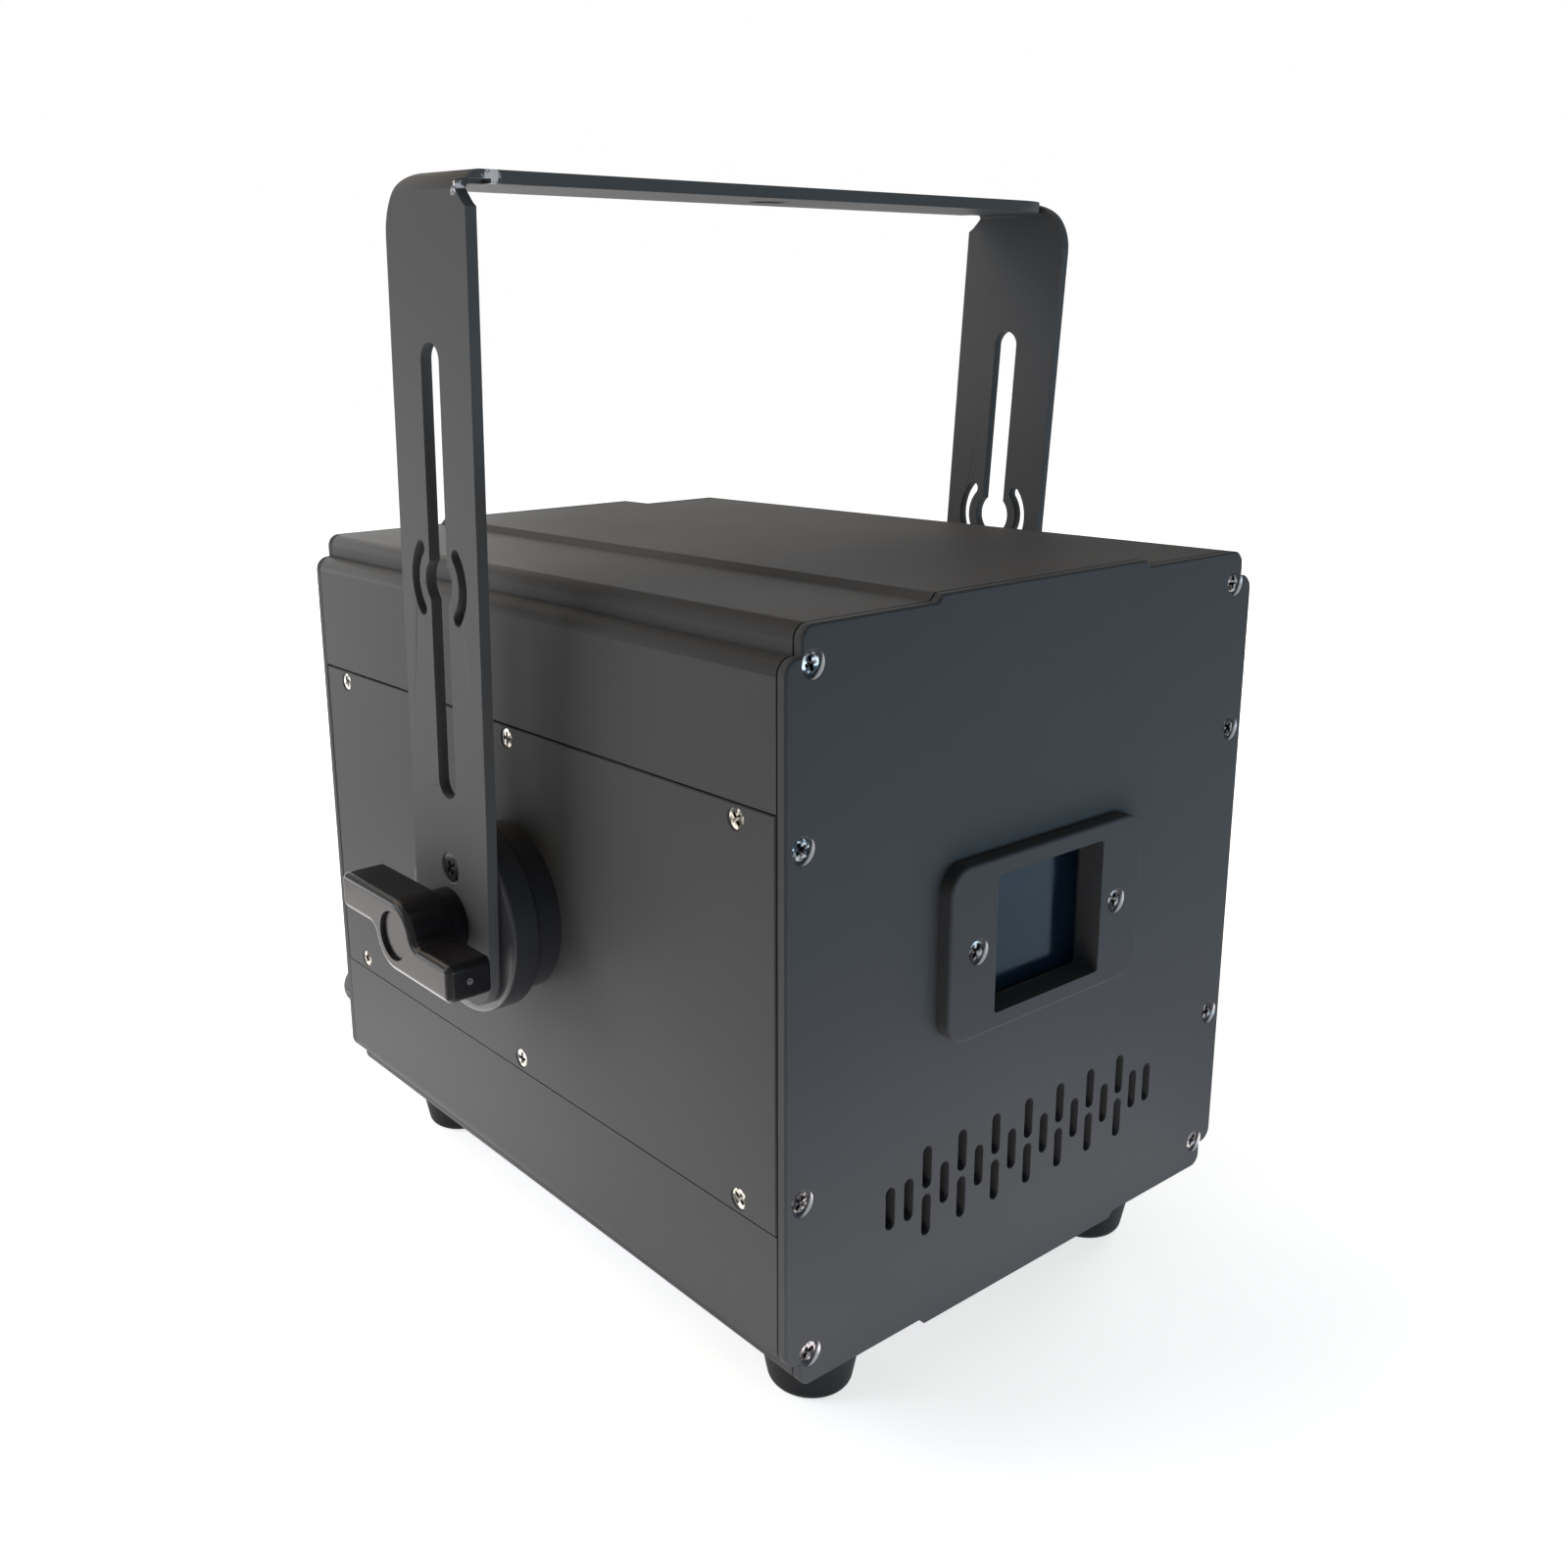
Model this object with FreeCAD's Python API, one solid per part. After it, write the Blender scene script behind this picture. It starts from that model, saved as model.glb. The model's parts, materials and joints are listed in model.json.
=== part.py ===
import FreeCAD, Part
import math
import os

# Laser show projector on a yoke bracket.
# Lengths are in millimetres. Everything is drawn about the middle of the case, where the tilt axis
# of the yoke crosses it: X to the right seen from the front, Y to the rear, Z up.
# The last lines lift the finished pieces so that the feet stand on Z = 0.

V = FreeCAD.Vector
X = V(1, 0, 0)
Y = V(0, 1, 0)
Z = V(0, 0, 1)
MIDDLE = V(0, 0, 0)

# Shared clearances
overrun = 2.0            # how far a cutting tool runs past the face that it opens
fit_gap = 0.05           # radial play of a fitted or running pair
face_gap = 0.10          # play between flat faces that turn or slide on each other
panel_gap = 0.30         # open seam round a panel that is let in

# Case: two identical U extrusions, side panels let in between them, a plate on each end
case_width = 168.0
case_depth = 220.0
case_height = 181.0      # between the flat shoulders
plateau_inset = 47.0     # from the side to the raised band along the middle of top and bottom
plateau_rise = 1.7
wall = 2.5
shoulder_inset = 4.6     # how far the rounded shoulder stands in from the side
shoulder_round = 3.5
lip_drop = 6.6           # from the shoulder down to the lip of the side wall
lip_round = 4.0
shell_side = 40.2        # from the shoulder to the seam where a side panel starts
ledge_depth = 6.6        # inner ledge that carries the side panel and its screws
ledge_reach = 12.8
ledge_root = 6.75
panel_thickness = 2.0
panel_edge = 0.3
plate_thickness = 3.0
plate_edge = 0.5

# Case screws, M3 countersunk
m3_head_r = 2.6
m3_shank_r = 1.5
m3_length = 10.0
plate_sink_r = 3.4
panel_sink_r = 2.9
panel_screw_length = 7.0
corner_screw_inset = 7.7
corner_screw_drop = 8.4
corner_block_wall = 5.0
side_screw_inset = 5.1
side_screw_reach = 8.3
panel_screw_margin = 3.95
panel_screw_inset = 13.2        # from the end of the shell

# Window in the front plate
window_height_offset = 6.1     # window centre above the tilt axis
window_width = 39.8
window_height = 35.4
window_round = 1.0
bezel_width = 72.4
bezel_height = 44.2
bezel_thickness = 4.0
bezel_round = 6.5
bezel_edge = 0.8
bezel_screw_spacing = 52.6
bezel_screw_length = 12.0
glass_width = 47.0
glass_height = 41.5
glass_thickness = 3.0
gasket_thickness = 0.6
holder_width = 62.0
holder_height = 48.0
holder_wall = 2.0

# Vents in the front plate: alternate columns hold one slot or two
vent_columns = 17
vent_pitch = 6.3
vent_width = 3.2
vent_length = 11.3
vent_rise = 36.0         # middle of the vents above the lower shoulder
vent_pair_spacing = 12.9
vent_first_pair = 2
vent_last_pair = 14

# Rubber feet
foot_plateau_gap = 2.4   # between the raised band and the foot's top
foot_end_inset = 22.2    # foot axis from the front or rear face
foot_height = 20.5
foot_top_r = 14.5
foot_bottom_r = 10.5
foot_edge = 3.0
foot_recess_r = 5.0
foot_recess_depth = 11.0
m4_pan_r = 3.8
m4_pan_height = 2.6
m4_shank_r = 2.0
foot_screw_tail = 2.0

# Tilt pivots: disc on the case, disc on the yoke, insert inside, stud and knob outside
disc_r = 26.0            # disc on the yoke
case_disc_r = 23.0
disc_edge = 1.0
case_disc_thickness = 8.0
yoke_disc_thickness = 8.4
spigot_r = 11.0
spigot_height = 1.6
stud_r = 4.0
stud_tail = 7.0          # how far the stud reaches past the inner face of the side panel
insert_r = 6.5
insert_reach = 6.0       # how far the insert reaches into the disc
insert_flange_r = 10.0
insert_flange = 3.0

# Yoke bracket: one bent strip
strip_thickness = 3.0
strip_width = 37.5
yoke_height = 186.3      # top of the bar above the tilt axis
leg_below = 20.5         # end of the legs below the tilt axis
leg_round = 9.0
leg_splay = 2.0          # how far a leg has leant outwards where it meets the bar
splay_start = 32.0       # height above the tilt axis where that lean starts
bend_outer_r = 4.0
corner_round = 14.0
bar_round = 24.0
yoke_lean_deg = 3.1      # the yoke stands this far forward of upright
notch_depth = 4.2
notch_low = 8.4          # the relief notch runs from this far under the bar's top
notch_high = 2.0
notch_round = 0.8
notch_blend = 6.0
slot_width = 8.6
slot_low = 34.0
slot_high = 148.4
eye_r = 6.5              # round opening half way along the slot
eye_height = 90.6
arc_slot_r = 11.5
arc_slot_width = 3.8
arc_slot_half_deg = 42.0
leg_hole_r = 4.3
clamp_hole_r = 5.25
m4_head_r = 4.0
m4_sink_r = 4.35
m4_length = 8.5
disc_screw_reach = 14.7

# Wing knob: an S of two lobes round a hub
knob_reach = 17.6        # from the leg to the knob's face
wing_depth = 12.4
wing_length = 28.2
hub_r = 10.0
wing_root_round = 3.5
wing_tip_round = 2.0
knob_edge = 1.8
knob_back_edge = 0.8
neck_r = 9.0
stud_grip = 10.0         # how far the stud is moulded into the knob
cap_r = 6.6
cap_thickness = 1.2
cap_recess = 2.2

# Fittings on the rear plate: places are shares of the half width and half height of the case
fuse_side_inset = 12.0
fuse_rise = 22.5         # above the lower shoulder
fuse_reach = 14.5
fuse_cap_r = 7.5
fuse_flange_r = 8.5
fuse_flange = 1.5
fuse_body_r = 6.0
fuse_nut_r = 8.0
fuse_nut = 4.0
fuse_body_length = 24.0
fuse_edge = 1.5
inlet_shares = (-0.452, -0.729)
inlet_flange_width = 31.0
inlet_flange_height = 24.0
inlet_flange = 2.0
inlet_round = 2.0
inlet_body_width = 27.0
inlet_body_height = 20.0
inlet_body_depth = 18.0
inlet_mouth_width = 24.0
inlet_mouth_height = 16.6
inlet_mouth_depth = 15.0
inlet_mouth_round = 3.0
inlet_pin_width = 2.0
inlet_pin_height = 4.5
inlet_pin_length = 9.0
inlet_pin_spacing = 7.0
inlet_earth_rise = 4.0
socket_in_shares = (0.143, -0.707)
socket_out_shares = (0.571, -0.707)
socket_flange_width = 26.0
socket_flange_height = 31.0
socket_flange = 2.0
socket_flange_round = 2.0
socket_body_r = 11.8
socket_body_depth = 20.0
socket_mouth_r = 9.2
socket_mouth_depth = 12.0
socket_pin_r = 1.2
socket_pin_length = 7.0
socket_pin_circle_r = 5.2
socket_face_depth = 1.0
socket_hole_r = 1.4
socket_hole_depth = 8.0
socket_screw_x = 9.5
socket_screw_z = 12.0
data_shares = (-0.476, 0.044)
data_flange_width = 53.0
data_flange_height = 12.5
data_flange = 1.0
data_flange_round = 1.0
data_shell_width = 38.4
data_shell_height = 8.4
data_shell_slant = 1.5
data_shell_round = 2.0
data_shell_reach = 6.0
data_body_depth = 10.0
data_post_spacing = 47.0
data_post_r = 2.4
data_post_length = 5.0
switch_shares = (-0.738, -0.309)
switch_flange_width = 15.0
switch_flange_height = 21.0
switch_flange = 1.8
switch_flange_round = 1.5
switch_body_width = 13.0
switch_body_height = 19.0
switch_body_depth = 16.0
rocker_width = 9.6
rocker_half = 7.4
rocker_depth = 5.0
rocker_throw_deg = 8.0
rocker_play = 0.25
rocker_pin_r = 1.2
lock_shares = (0.780, -0.287)
lock_flange_r = 10.0
lock_flange = 2.5
lock_body_r = 8.0
lock_body_depth = 20.0
lock_edge = 0.8
barrel_r = 5.5
barrel_proud = 0.8
key_slot_width = 1.6
key_slot_height = 7.0
key_slot_depth = 6.0
display_shares = (-0.238, -0.287)
display_width = 44.0
display_height = 18.0
display_thickness = 1.0
display_round = 1.5
display_opening_width = 38.0
display_opening_height = 13.0
button_first_shares = (0.167, -0.287)
button_pitch_share = 0.131
button_count = 4
button_r = 3.6
button_proud = 1.6
button_play = 0.12
button_flange_r = 4.3
button_flange = 1.0
button_stem_r = 1.5
button_travel = 0.8
button_edge = 0.5
eye_shares = (0.536, 0.066)
eye_base_width = 14.0
eye_base_height = 30.0
eye_base = 2.0
eye_base_round = 3.0
eye_lug_thickness = 4.0
eye_lug_r = 6.6
eye_hole_r = 4.0
eye_reach = 13.5
eye_screw_spacing = 20.0
pan_head_r = 2.8
pan_head_height = 1.8
pan_screw_length = 9.0

# Control board behind the rear plate
board_thickness = 1.6
board_standoff = 9.0
board_margin = 4.0
board_height = 24.0
board_post_r = 2.5
tact_size = 6.0
tact_height = 3.5

# Fan behind slots in the rear plate
fan_shares = (0.0, 0.555)
fan_size = 60.0
fan_depth = 15.0
fan_corner_round = 3.0
fan_bore_r = 28.0
fan_screw_spacing = 50.0
fan_slots = 9
fan_slot_pitch = 6.0
fan_slot_width = 3.2
fan_motor_r = 12.0
fan_motor_base = 2.5
fan_strut_width = 4.0
fan_tube_r = 3.2
fan_tube_length = 6.0
fan_hub_r = 12.5
fan_hub_wall = 1.8
fan_blades = 7
fan_blade_r = 27.2
fan_blade_chord = 14.0
fan_blade_thickness = 1.4
fan_blade_pitch_deg = 40.0
fan_shaft_r = 1.5
fan_end_gap = 0.5

# Optics on a bed that rests on the ledges of the bottom shell
bed_side_gap = 2.0       # from the inner face of a side panel
bed_front_inset = 17.0   # from the front end of the shell
bed_rear_inset = 45.0    # from the rear end of the shell
bed_thickness = 8.0
bed_edge = 1.0
beam_drop = 12.0         # beam line under the middle of the window
scan_depth = 40.0        # crossing of the scan mirrors behind the front face
module_edge_inset = 16.0        # middle of the first module from the bed's edge
module_last_left = 20.0         # middle of the last module left of the scan axis
module_count = 3
module_gap = 2.0
module_rear_inset = 2.0
module_length = 52.0
module_fin_count = 5
module_fin_gap = 2.0
module_fin_depth = 4.0
nozzle_r = 4.0
nozzle_length = 6.0
nozzle_bore_r = 2.0
mirror_size = 12.0
mirror_thickness = 1.5
mirror_post = 5.0
scanner_base = 4.0
scanner_base_left = 12.0        # left of the scan axis
scanner_base_right = 44.0
scanner_base_ahead = 10.0
scanner_base_behind = 40.0
scanner_post_wall = 4.0
motor_r = 6.5
motor_length = 32.0
motor_start = 10.0       # the motors start this far from the crossing of the mirrors
motor_grip_length = 24.0
scan_shaft_r = 1.5
scan_mirror_width = 9.0
scan_mirror_thickness = 1.2
pan_mirror_length = 10.0
tilt_mirror_length = 16.0
shaft_start = 5.0
shaft_socket = 8.0
driver_side_inset = 8.0
driver_width = 42.0
driver_rear_inset = 4.0
driver_length = 50.0
driver_standoff = 5.0
driver_sink_width = 12.0
driver_sink_height = 22.0
supply_half_width = 50.0
supply_rear_inset = 37.0
supply_length = 100.0
supply_height = 34.0
supply_wall = 1.5
supply_board_lift = 6.0
supply_parts_height = 22.0

# Places worked out from the sizes above
side_x = case_width / 2
shoulder_z = case_height / 2
plateau_z = shoulder_z + plateau_rise
plateau_x = side_x - plateau_inset
foot_x = plateau_x + plateau_rise + foot_plateau_gap + foot_top_r
seam_z = shoulder_z - shell_side
front_face = -case_depth / 2
rear_face = case_depth / 2
shell_end = rear_face - plate_thickness
panel_back = side_x - panel_thickness
corner_screw_x = side_x - corner_screw_inset
corner_screw_z = shoulder_z - corner_screw_drop
side_screw_x = side_x - side_screw_inset
side_screw_z = seam_z - side_screw_reach
panel_screw_y = shell_end - panel_screw_inset
panel_screw_z = seam_z - panel_screw_margin
ledge_end_z = seam_z - ledge_reach
floor_z = wall - shoulder_z
hole_m3_r = m3_shank_r + fit_gap
hole_m4_r = m4_shank_r + fit_gap
yoke_disc_x = side_x + case_disc_thickness + face_gap
leg_inner_x = yoke_disc_x + yoke_disc_thickness
leg_outer_x = leg_inner_x + strip_thickness
top_inner_x = leg_inner_x + leg_splay
top_outer_x = leg_outer_x + leg_splay
bed_bottom = -ledge_end_z
bed_top = bed_bottom + bed_thickness
beam_z = window_height_offset - beam_drop
board_face = shell_end - board_standoff
fuse_place = (fuse_side_inset - side_x, fuse_rise - shoulder_z)
inlet_place = (inlet_shares[0] * side_x, inlet_shares[1] * shoulder_z)
socket_in_place = (socket_in_shares[0] * side_x, socket_in_shares[1] * shoulder_z)
socket_out_place = (socket_out_shares[0] * side_x, socket_out_shares[1] * shoulder_z)
data_place = (data_shares[0] * side_x, data_shares[1] * shoulder_z)
switch_place = (switch_shares[0] * side_x, switch_shares[1] * shoulder_z)
lock_place = (lock_shares[0] * side_x, lock_shares[1] * shoulder_z)
display_place = (display_shares[0] * side_x, display_shares[1] * shoulder_z)
button_first = (button_first_shares[0] * side_x, button_first_shares[1] * shoulder_z)
button_pitch = button_pitch_share * side_x
button_z = button_first[1]
eye_place = (eye_shares[0] * side_x, eye_shares[1] * shoulder_z)
fan_place = (fan_shares[0] * side_x, fan_shares[1] * shoulder_z)
bed_half_width = panel_back - bed_side_gap
bed_front = bed_front_inset - shell_end
bed_rear = shell_end - bed_rear_inset
scan_y = front_face + scan_depth
module_first_x = module_edge_inset - bed_half_width
module_pitch = (-module_last_left - module_first_x) / (module_count - 1)
module_width = module_pitch - module_gap
module_front = bed_rear - module_rear_inset - module_length
scanner_base_front = scan_y - scanner_base_ahead
scanner_base_rear = scan_y + scanner_base_behind
driver_right = bed_half_width - driver_side_inset
driver_left = driver_right - driver_width
driver_rear = bed_rear - driver_rear_inset
driver_front = driver_rear - driver_length
supply_rear = shell_end - supply_rear_inset
supply_front = supply_rear - supply_length
END_PLATE_SCREWS = [(sx * x, sz * z) for sx in (-1, 1) for sz in (-1, 1)
                    for x, z in ((corner_screw_x, corner_screw_z), (side_screw_x, side_screw_z))]
PANEL_SCREWS = [(sy * panel_screw_y, sz * panel_screw_z) for sy in (-1, 0, 1) for sz in (-1, 1)]
FEET = {"front_left_foot": (-1, -1), "front_right_foot": (1, -1),
        "rear_left_foot": (-1, 1), "rear_right_foot": (1, 1)}


# Drawing helpers

def in_space(plane, a, b, at):
    """Point (a, b) of a drawing plane at a given height along the plane's normal."""
    places = {"xz": V(a, at, b), "yz": V(at, a, b), "xy": V(a, b, at)}
    return places[plane]


def outline(corners, plane, at):
    """Closed wire through corners (a, b, radius), each corner rounded by its own radius."""
    points = [in_space(plane, a, b, at) for a, b, _ in corners]
    spans = []
    for i, (_, _, radius) in enumerate(corners):
        corner = points[i]
        back = (points[i - 1] - corner).normalize()
        ahead = (points[(i + 1) % len(points)] - corner).normalize()
        if radius == 0:
            spans.append((corner, corner, corner))
            continue
        half = math.acos(back.dot(ahead)) / 2
        trim = radius / math.tan(half)
        inward = (back + ahead).normalize()
        crown = corner + inward * (radius / math.sin(half) - radius)
        spans.append((corner + back * trim, crown, corner + ahead * trim))
    edges = []
    for i, (start, crown, end) in enumerate(spans):
        if not start.isEqual(end, 1e-7):
            edges.append(Part.Arc(start, crown, end).toShape())
        following = spans[(i + 1) % len(spans)][0]
        if not end.isEqual(following, 1e-7):
            edges.append(Part.LineSegment(end, following).toShape())
    return Part.Wire(edges)


def prism(corners, plane, start, length):
    """Rounded outline pulled along the normal of its plane."""
    normal = {"xz": Y, "yz": X, "xy": Z}[plane]
    return Part.Face(outline(corners, plane, start)).extrude(normal * length)


def rectangle(a, b, width, height, radius=0):
    """Corners of a rectangle about (a, b)."""
    return [(a - width / 2, b - height / 2, radius), (a + width / 2, b - height / 2, radius),
            (a + width / 2, b + height / 2, radius), (a - width / 2, b + height / 2, radius)]


def block(x0, x1, y0, y1, z0, z1):
    """Box between two corners."""
    return Part.makeBox(x1 - x0, y1 - y0, z1 - z0, V(x0, y0, z0))


def rod(radius, length, start, axis):
    """Cylinder from a point along an axis."""
    return Part.makeCylinder(radius, length, start, axis)


def turned(corners):
    """Body turned about X from an outline of (place along X, radius from X, corner radius)."""
    return Part.Face(outline(corners, "xz", 0)).revolve(MIDDLE, X, 360)


def aimed(shape, place, direction):
    """Copy of a shape drawn along X, moved so that its X points along a direction."""
    moved = shape.copy()
    moved.Placement = FreeCAD.Placement(place, FreeCAD.Rotation(X, direction))
    return moved


def other_side(shape):
    """The same piece on the opposite side, turned half way round the upright middle line."""
    moved = shape.copy()
    moved.rotate(MIDDLE, Z, 180)
    return moved


def group(shapes):
    return Part.makeCompound(shapes)


def fused(shapes):
    return shapes[0].multiFuse(shapes[1:]).removeSplitter()


def softened(shape, radius, chosen):
    """Fillet of every edge that a test picks."""
    edges = [edge for edge in shape.Edges if chosen(edge)]
    return shape.makeFillet(radius, edges)


def lies_at(axis, place):
    """Test for edges that lie wholly at one place along an axis."""
    return lambda edge: all(abs(vertex.Point.dot(axis) - place) < fit_gap for vertex in edge.Vertexes)


# Fasteners, drawn along X with the head's face at 0 and the shank towards -X

def countersunk(head_r, shank_r, length):
    neck = head_r - shank_r
    return turned([(0, 0, 0), (0, head_r, 0), (-neck, shank_r, 0), (-length, shank_r, 0), (-length, 0, 0)])


def countersink(sink_r, hole_r, depth):
    """Cutting tool for a countersunk hole."""
    neck = sink_r - hole_r
    return turned([(overrun, 0, 0), (overrun, sink_r, 0), (0, sink_r, 0), (-neck, hole_r, 0),
                   (-depth, hole_r, 0), (-depth, 0, 0)])


def pan_screw(head_r, head_height, shank_r, length):
    return turned([(head_height, 0, 0), (head_height, head_r, head_height / 2), (0, head_r, 0),
                   (0, shank_r, 0), (-length, shank_r, 0), (-length, 0, 0)])


def sunk(sink_r, head_r):
    """How deep a countersunk head lies in its sink."""
    return sink_r - head_r - fit_gap


# Case

def quadrant():
    """Outline of the upper right quarter of the case, from the middle of the top to the side."""
    return [(plateau_x, plateau_z, 0),
            (plateau_x + plateau_rise, shoulder_z, 0),
            (side_x - shoulder_inset, shoulder_z, shoulder_round),
            (side_x - shoulder_inset, shoulder_z - lip_drop, 0),
            (side_x, shoulder_z - lip_drop, lip_round)]


def case_outline():
    upper_right = quadrant()
    lower_right = [(a, -b, r) for a, b, r in reversed(upper_right)]
    lower_left = [(-a, -b, r) for a, b, r in upper_right]
    upper_left = [(-a, b, r) for a, b, r in reversed(upper_right)]
    return upper_right + lower_right + lower_left + upper_left


def shell():
    """Upper U extrusion with corner blocks, screw channels and inner ledges."""
    inner_x = side_x - wall
    ledge_x = panel_back - ledge_depth
    block_x = corner_screw_x - corner_block_wall
    block_z = corner_screw_z - corner_block_wall
    outer = [(side_x, seam_z, 0)] + quadrant()[::-1]
    inner = [(block_x, shoulder_z - wall, 0), (block_x, block_z, 0), (inner_x, block_z, 0),
             (inner_x, seam_z + ledge_root, 0), (ledge_x, seam_z + ledge_root, 0),
             (ledge_x, ledge_end_z, 0), (panel_back, ledge_end_z, 0), (panel_back, seam_z, 0)]
    mirrored = [(-a, b, r) for a, b, r in reversed(outer)] + [(-a, b, r) for a, b, r in reversed(inner)]
    body = prism(outer + mirrored + inner, "xz", -shell_end, shell_end * 2)
    holes = []
    for x, z in END_PLATE_SCREWS:
        if z > 0:
            for end in (-1, 1):
                start = V(x, end * (shell_end + overrun), z)
                holes.append(rod(hole_m3_r, m3_length + overrun, start, Y * -end))
    for y, z in PANEL_SCREWS:
        if z > 0:
            for side in (-1, 1):
                start = V(side * side_x, y, z)
                holes.append(rod(hole_m3_r, panel_screw_length + overrun, start, X * -side))
    return body.cut(holes)


def bottom_shell():
    body = shell()
    body.rotate(MIDDLE, Y, 180)
    holes = [rod(hole_m4_r, wall + overrun * 2, V(x, y, -shoulder_z - overrun), Z)
             for x, y in foot_places()]
    return body.cut(holes)


def foot_places():
    return [(sx * foot_x, sy * (rear_face - foot_end_inset)) for sx, sy in FEET.values()]


def side_panel():
    """Right side panel. It stands on the lower shell, so the play of its seams lies at its top."""
    low = fit_gap - seam_z
    high = seam_z - panel_gap * 2
    length = shell_end - panel_gap
    plate = prism(rectangle(0, (low + high) / 2, length * 2, high - low), "yz", panel_back, panel_thickness)
    plate = plate.makeChamfer(panel_edge, [edge for edge in plate.Edges if lies_at(X, side_x)(edge)])
    cuts = [aimed(countersink(panel_sink_r, hole_m3_r, panel_thickness + overrun), V(side_x, y, z), X)
            for y, z in PANEL_SCREWS]
    cuts.append(rod(insert_r + fit_gap, panel_thickness + overrun * 2, V(panel_back - overrun, 0, 0), X))
    return plate.cut(cuts)


def side_panel_screws():
    screw = countersunk(m3_head_r, m3_shank_r, panel_screw_length)
    depth = sunk(panel_sink_r, m3_head_r)
    right = [aimed(screw, V(side_x - depth, y, z), X) for y, z in PANEL_SCREWS]
    return group(right + [other_side(one) for one in right])


def end_plate(outer_face):
    """Plate with the outline of the case and its countersunk holes; outer_face is its Y place."""
    direction = 1 if outer_face > 0 else -1
    inner_face = outer_face - direction * plate_thickness
    plate = prism(case_outline(), "xz", min(outer_face, inner_face), plate_thickness)
    rim = [edge for edge in plate.Edges if lies_at(Y, outer_face)(edge) or lies_at(Y, inner_face)(edge)]
    plate = plate.makeChamfer(plate_edge, rim)
    tool = countersink(plate_sink_r, hole_m3_r, plate_thickness + overrun)
    return plate.cut([aimed(tool, V(x, outer_face, z), Y * direction) for x, z in END_PLATE_SCREWS])


def end_plate_screws(outer_face):
    direction = 1 if outer_face > 0 else -1
    screw = countersunk(m3_head_r, m3_shank_r, m3_length)
    face = outer_face - direction * sunk(plate_sink_r, m3_head_r)
    return group([aimed(screw, V(x, face, z), Y * direction) for x, z in END_PLATE_SCREWS])


# Front plate, window and vents

def vent_places():
    """Centres of the vent slots."""
    places = []
    for column in range(vent_columns):
        x = (column - (vent_columns - 1) / 2) * vent_pitch
        paired = vent_first_pair <= column <= vent_last_pair and column % 2 == 0
        rises = (-vent_pair_spacing / 2, vent_pair_spacing / 2) if paired else (0,)
        places += [(x, vent_rise - shoulder_z + rise) for rise in rises]
    return places


def through_front(corners):
    return prism(corners, "xz", front_face - overrun, plate_thickness + overrun * 2)


def window_corners(extra=0):
    return rectangle(0, window_height_offset, window_width + extra, window_height + extra, window_round)


def bezel_screw_places():
    return [(side * bezel_screw_spacing / 2, window_height_offset) for side in (-1, 1)]


def front_plate():
    plate = end_plate(front_face)
    cuts = [through_front(rectangle(x, z, vent_width, vent_length, vent_width / 2)) for x, z in vent_places()]
    cuts.append(through_front(window_corners()))
    cuts += [rod(hole_m3_r, plate_thickness + overrun * 2, V(x, front_face - overrun, z), Y)
             for x, z in bezel_screw_places()]
    return plate.cut(cuts)


def window_bezel():
    face = front_face - bezel_thickness
    frame = rectangle(0, window_height_offset, bezel_width, bezel_height, bezel_round)
    body = prism(frame, "xz", face, bezel_thickness)
    body = softened(body, bezel_edge, lies_at(Y, face))
    opening = prism(window_corners(), "xz", face - overrun, bezel_thickness + overrun * 2)
    tool = countersink(plate_sink_r, hole_m3_r, bezel_thickness + overrun)
    sinks = [aimed(tool, V(x, face, z), -Y) for x, z in bezel_screw_places()]
    return body.cut([opening] + sinks)


def bezel_screws():
    screw = countersunk(m3_head_r, m3_shank_r, bezel_screw_length)
    face = front_face - bezel_thickness + sunk(plate_sink_r, m3_head_r)
    return group([aimed(screw, V(x, face, z), -Y) for x, z in bezel_screw_places()])


def glass_corners(play=0):
    return rectangle(0, window_height_offset, glass_width + play * 2, glass_height + play * 2)


def window_gasket():
    frame = prism(glass_corners(), "xz", -shell_end, gasket_thickness)
    return frame.cut(prism(window_corners(), "xz", -shell_end - overrun, gasket_thickness + overrun * 2))


def window_glass():
    return prism(glass_corners(), "xz", -shell_end + gasket_thickness, glass_thickness)


def glass_holder():
    """Tray behind the front plate that presses glass and gasket against it."""
    pocket_depth = gasket_thickness + glass_thickness
    tray = prism(rectangle(0, window_height_offset, holder_width, holder_height, window_round),
                 "xz", -shell_end, pocket_depth + holder_wall)
    pocket = prism(glass_corners(fit_gap), "xz", -shell_end - overrun, pocket_depth + overrun)
    opening = prism(window_corners(), "xz", -shell_end, pocket_depth + holder_wall + overrun)
    holes = [rod(hole_m3_r, bezel_screw_length, V(x, -shell_end - overrun, z), Y)
             for x, z in bezel_screw_places()]
    return tray.cut([pocket, opening] + holes)


# Feet

def foot():
    """Tapered rubber foot under the shoulder, with a recess for its screw; its axis is Z."""
    top = -shoulder_z
    body = turned([(0, 0, 0), (0, foot_top_r, 0), (-foot_height, foot_bottom_r, foot_edge),
                   (-foot_height, 0, 0)])
    body = aimed(body, V(0, 0, top), Z)
    recess = rod(foot_recess_r, foot_recess_depth + overrun, V(0, 0, top - foot_height - overrun), Z)
    hole = rod(hole_m4_r, foot_height, V(0, 0, top - foot_height), Z)
    return body.cut([recess, hole])


def moved(shape, x, y, z=0):
    copy = shape.copy()
    copy.translate(V(x, y, z))
    return copy


def foot_screws():
    seat = -shoulder_z - foot_height + foot_recess_depth
    length = foot_height - foot_recess_depth + wall + foot_screw_tail
    screw = pan_screw(m4_pan_r, m4_pan_height, m4_shank_r, length)
    return group([aimed(screw, V(x, y, seat), -Z) for x, y in foot_places()])


# Tilt pivots, drawn on the right side

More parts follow.
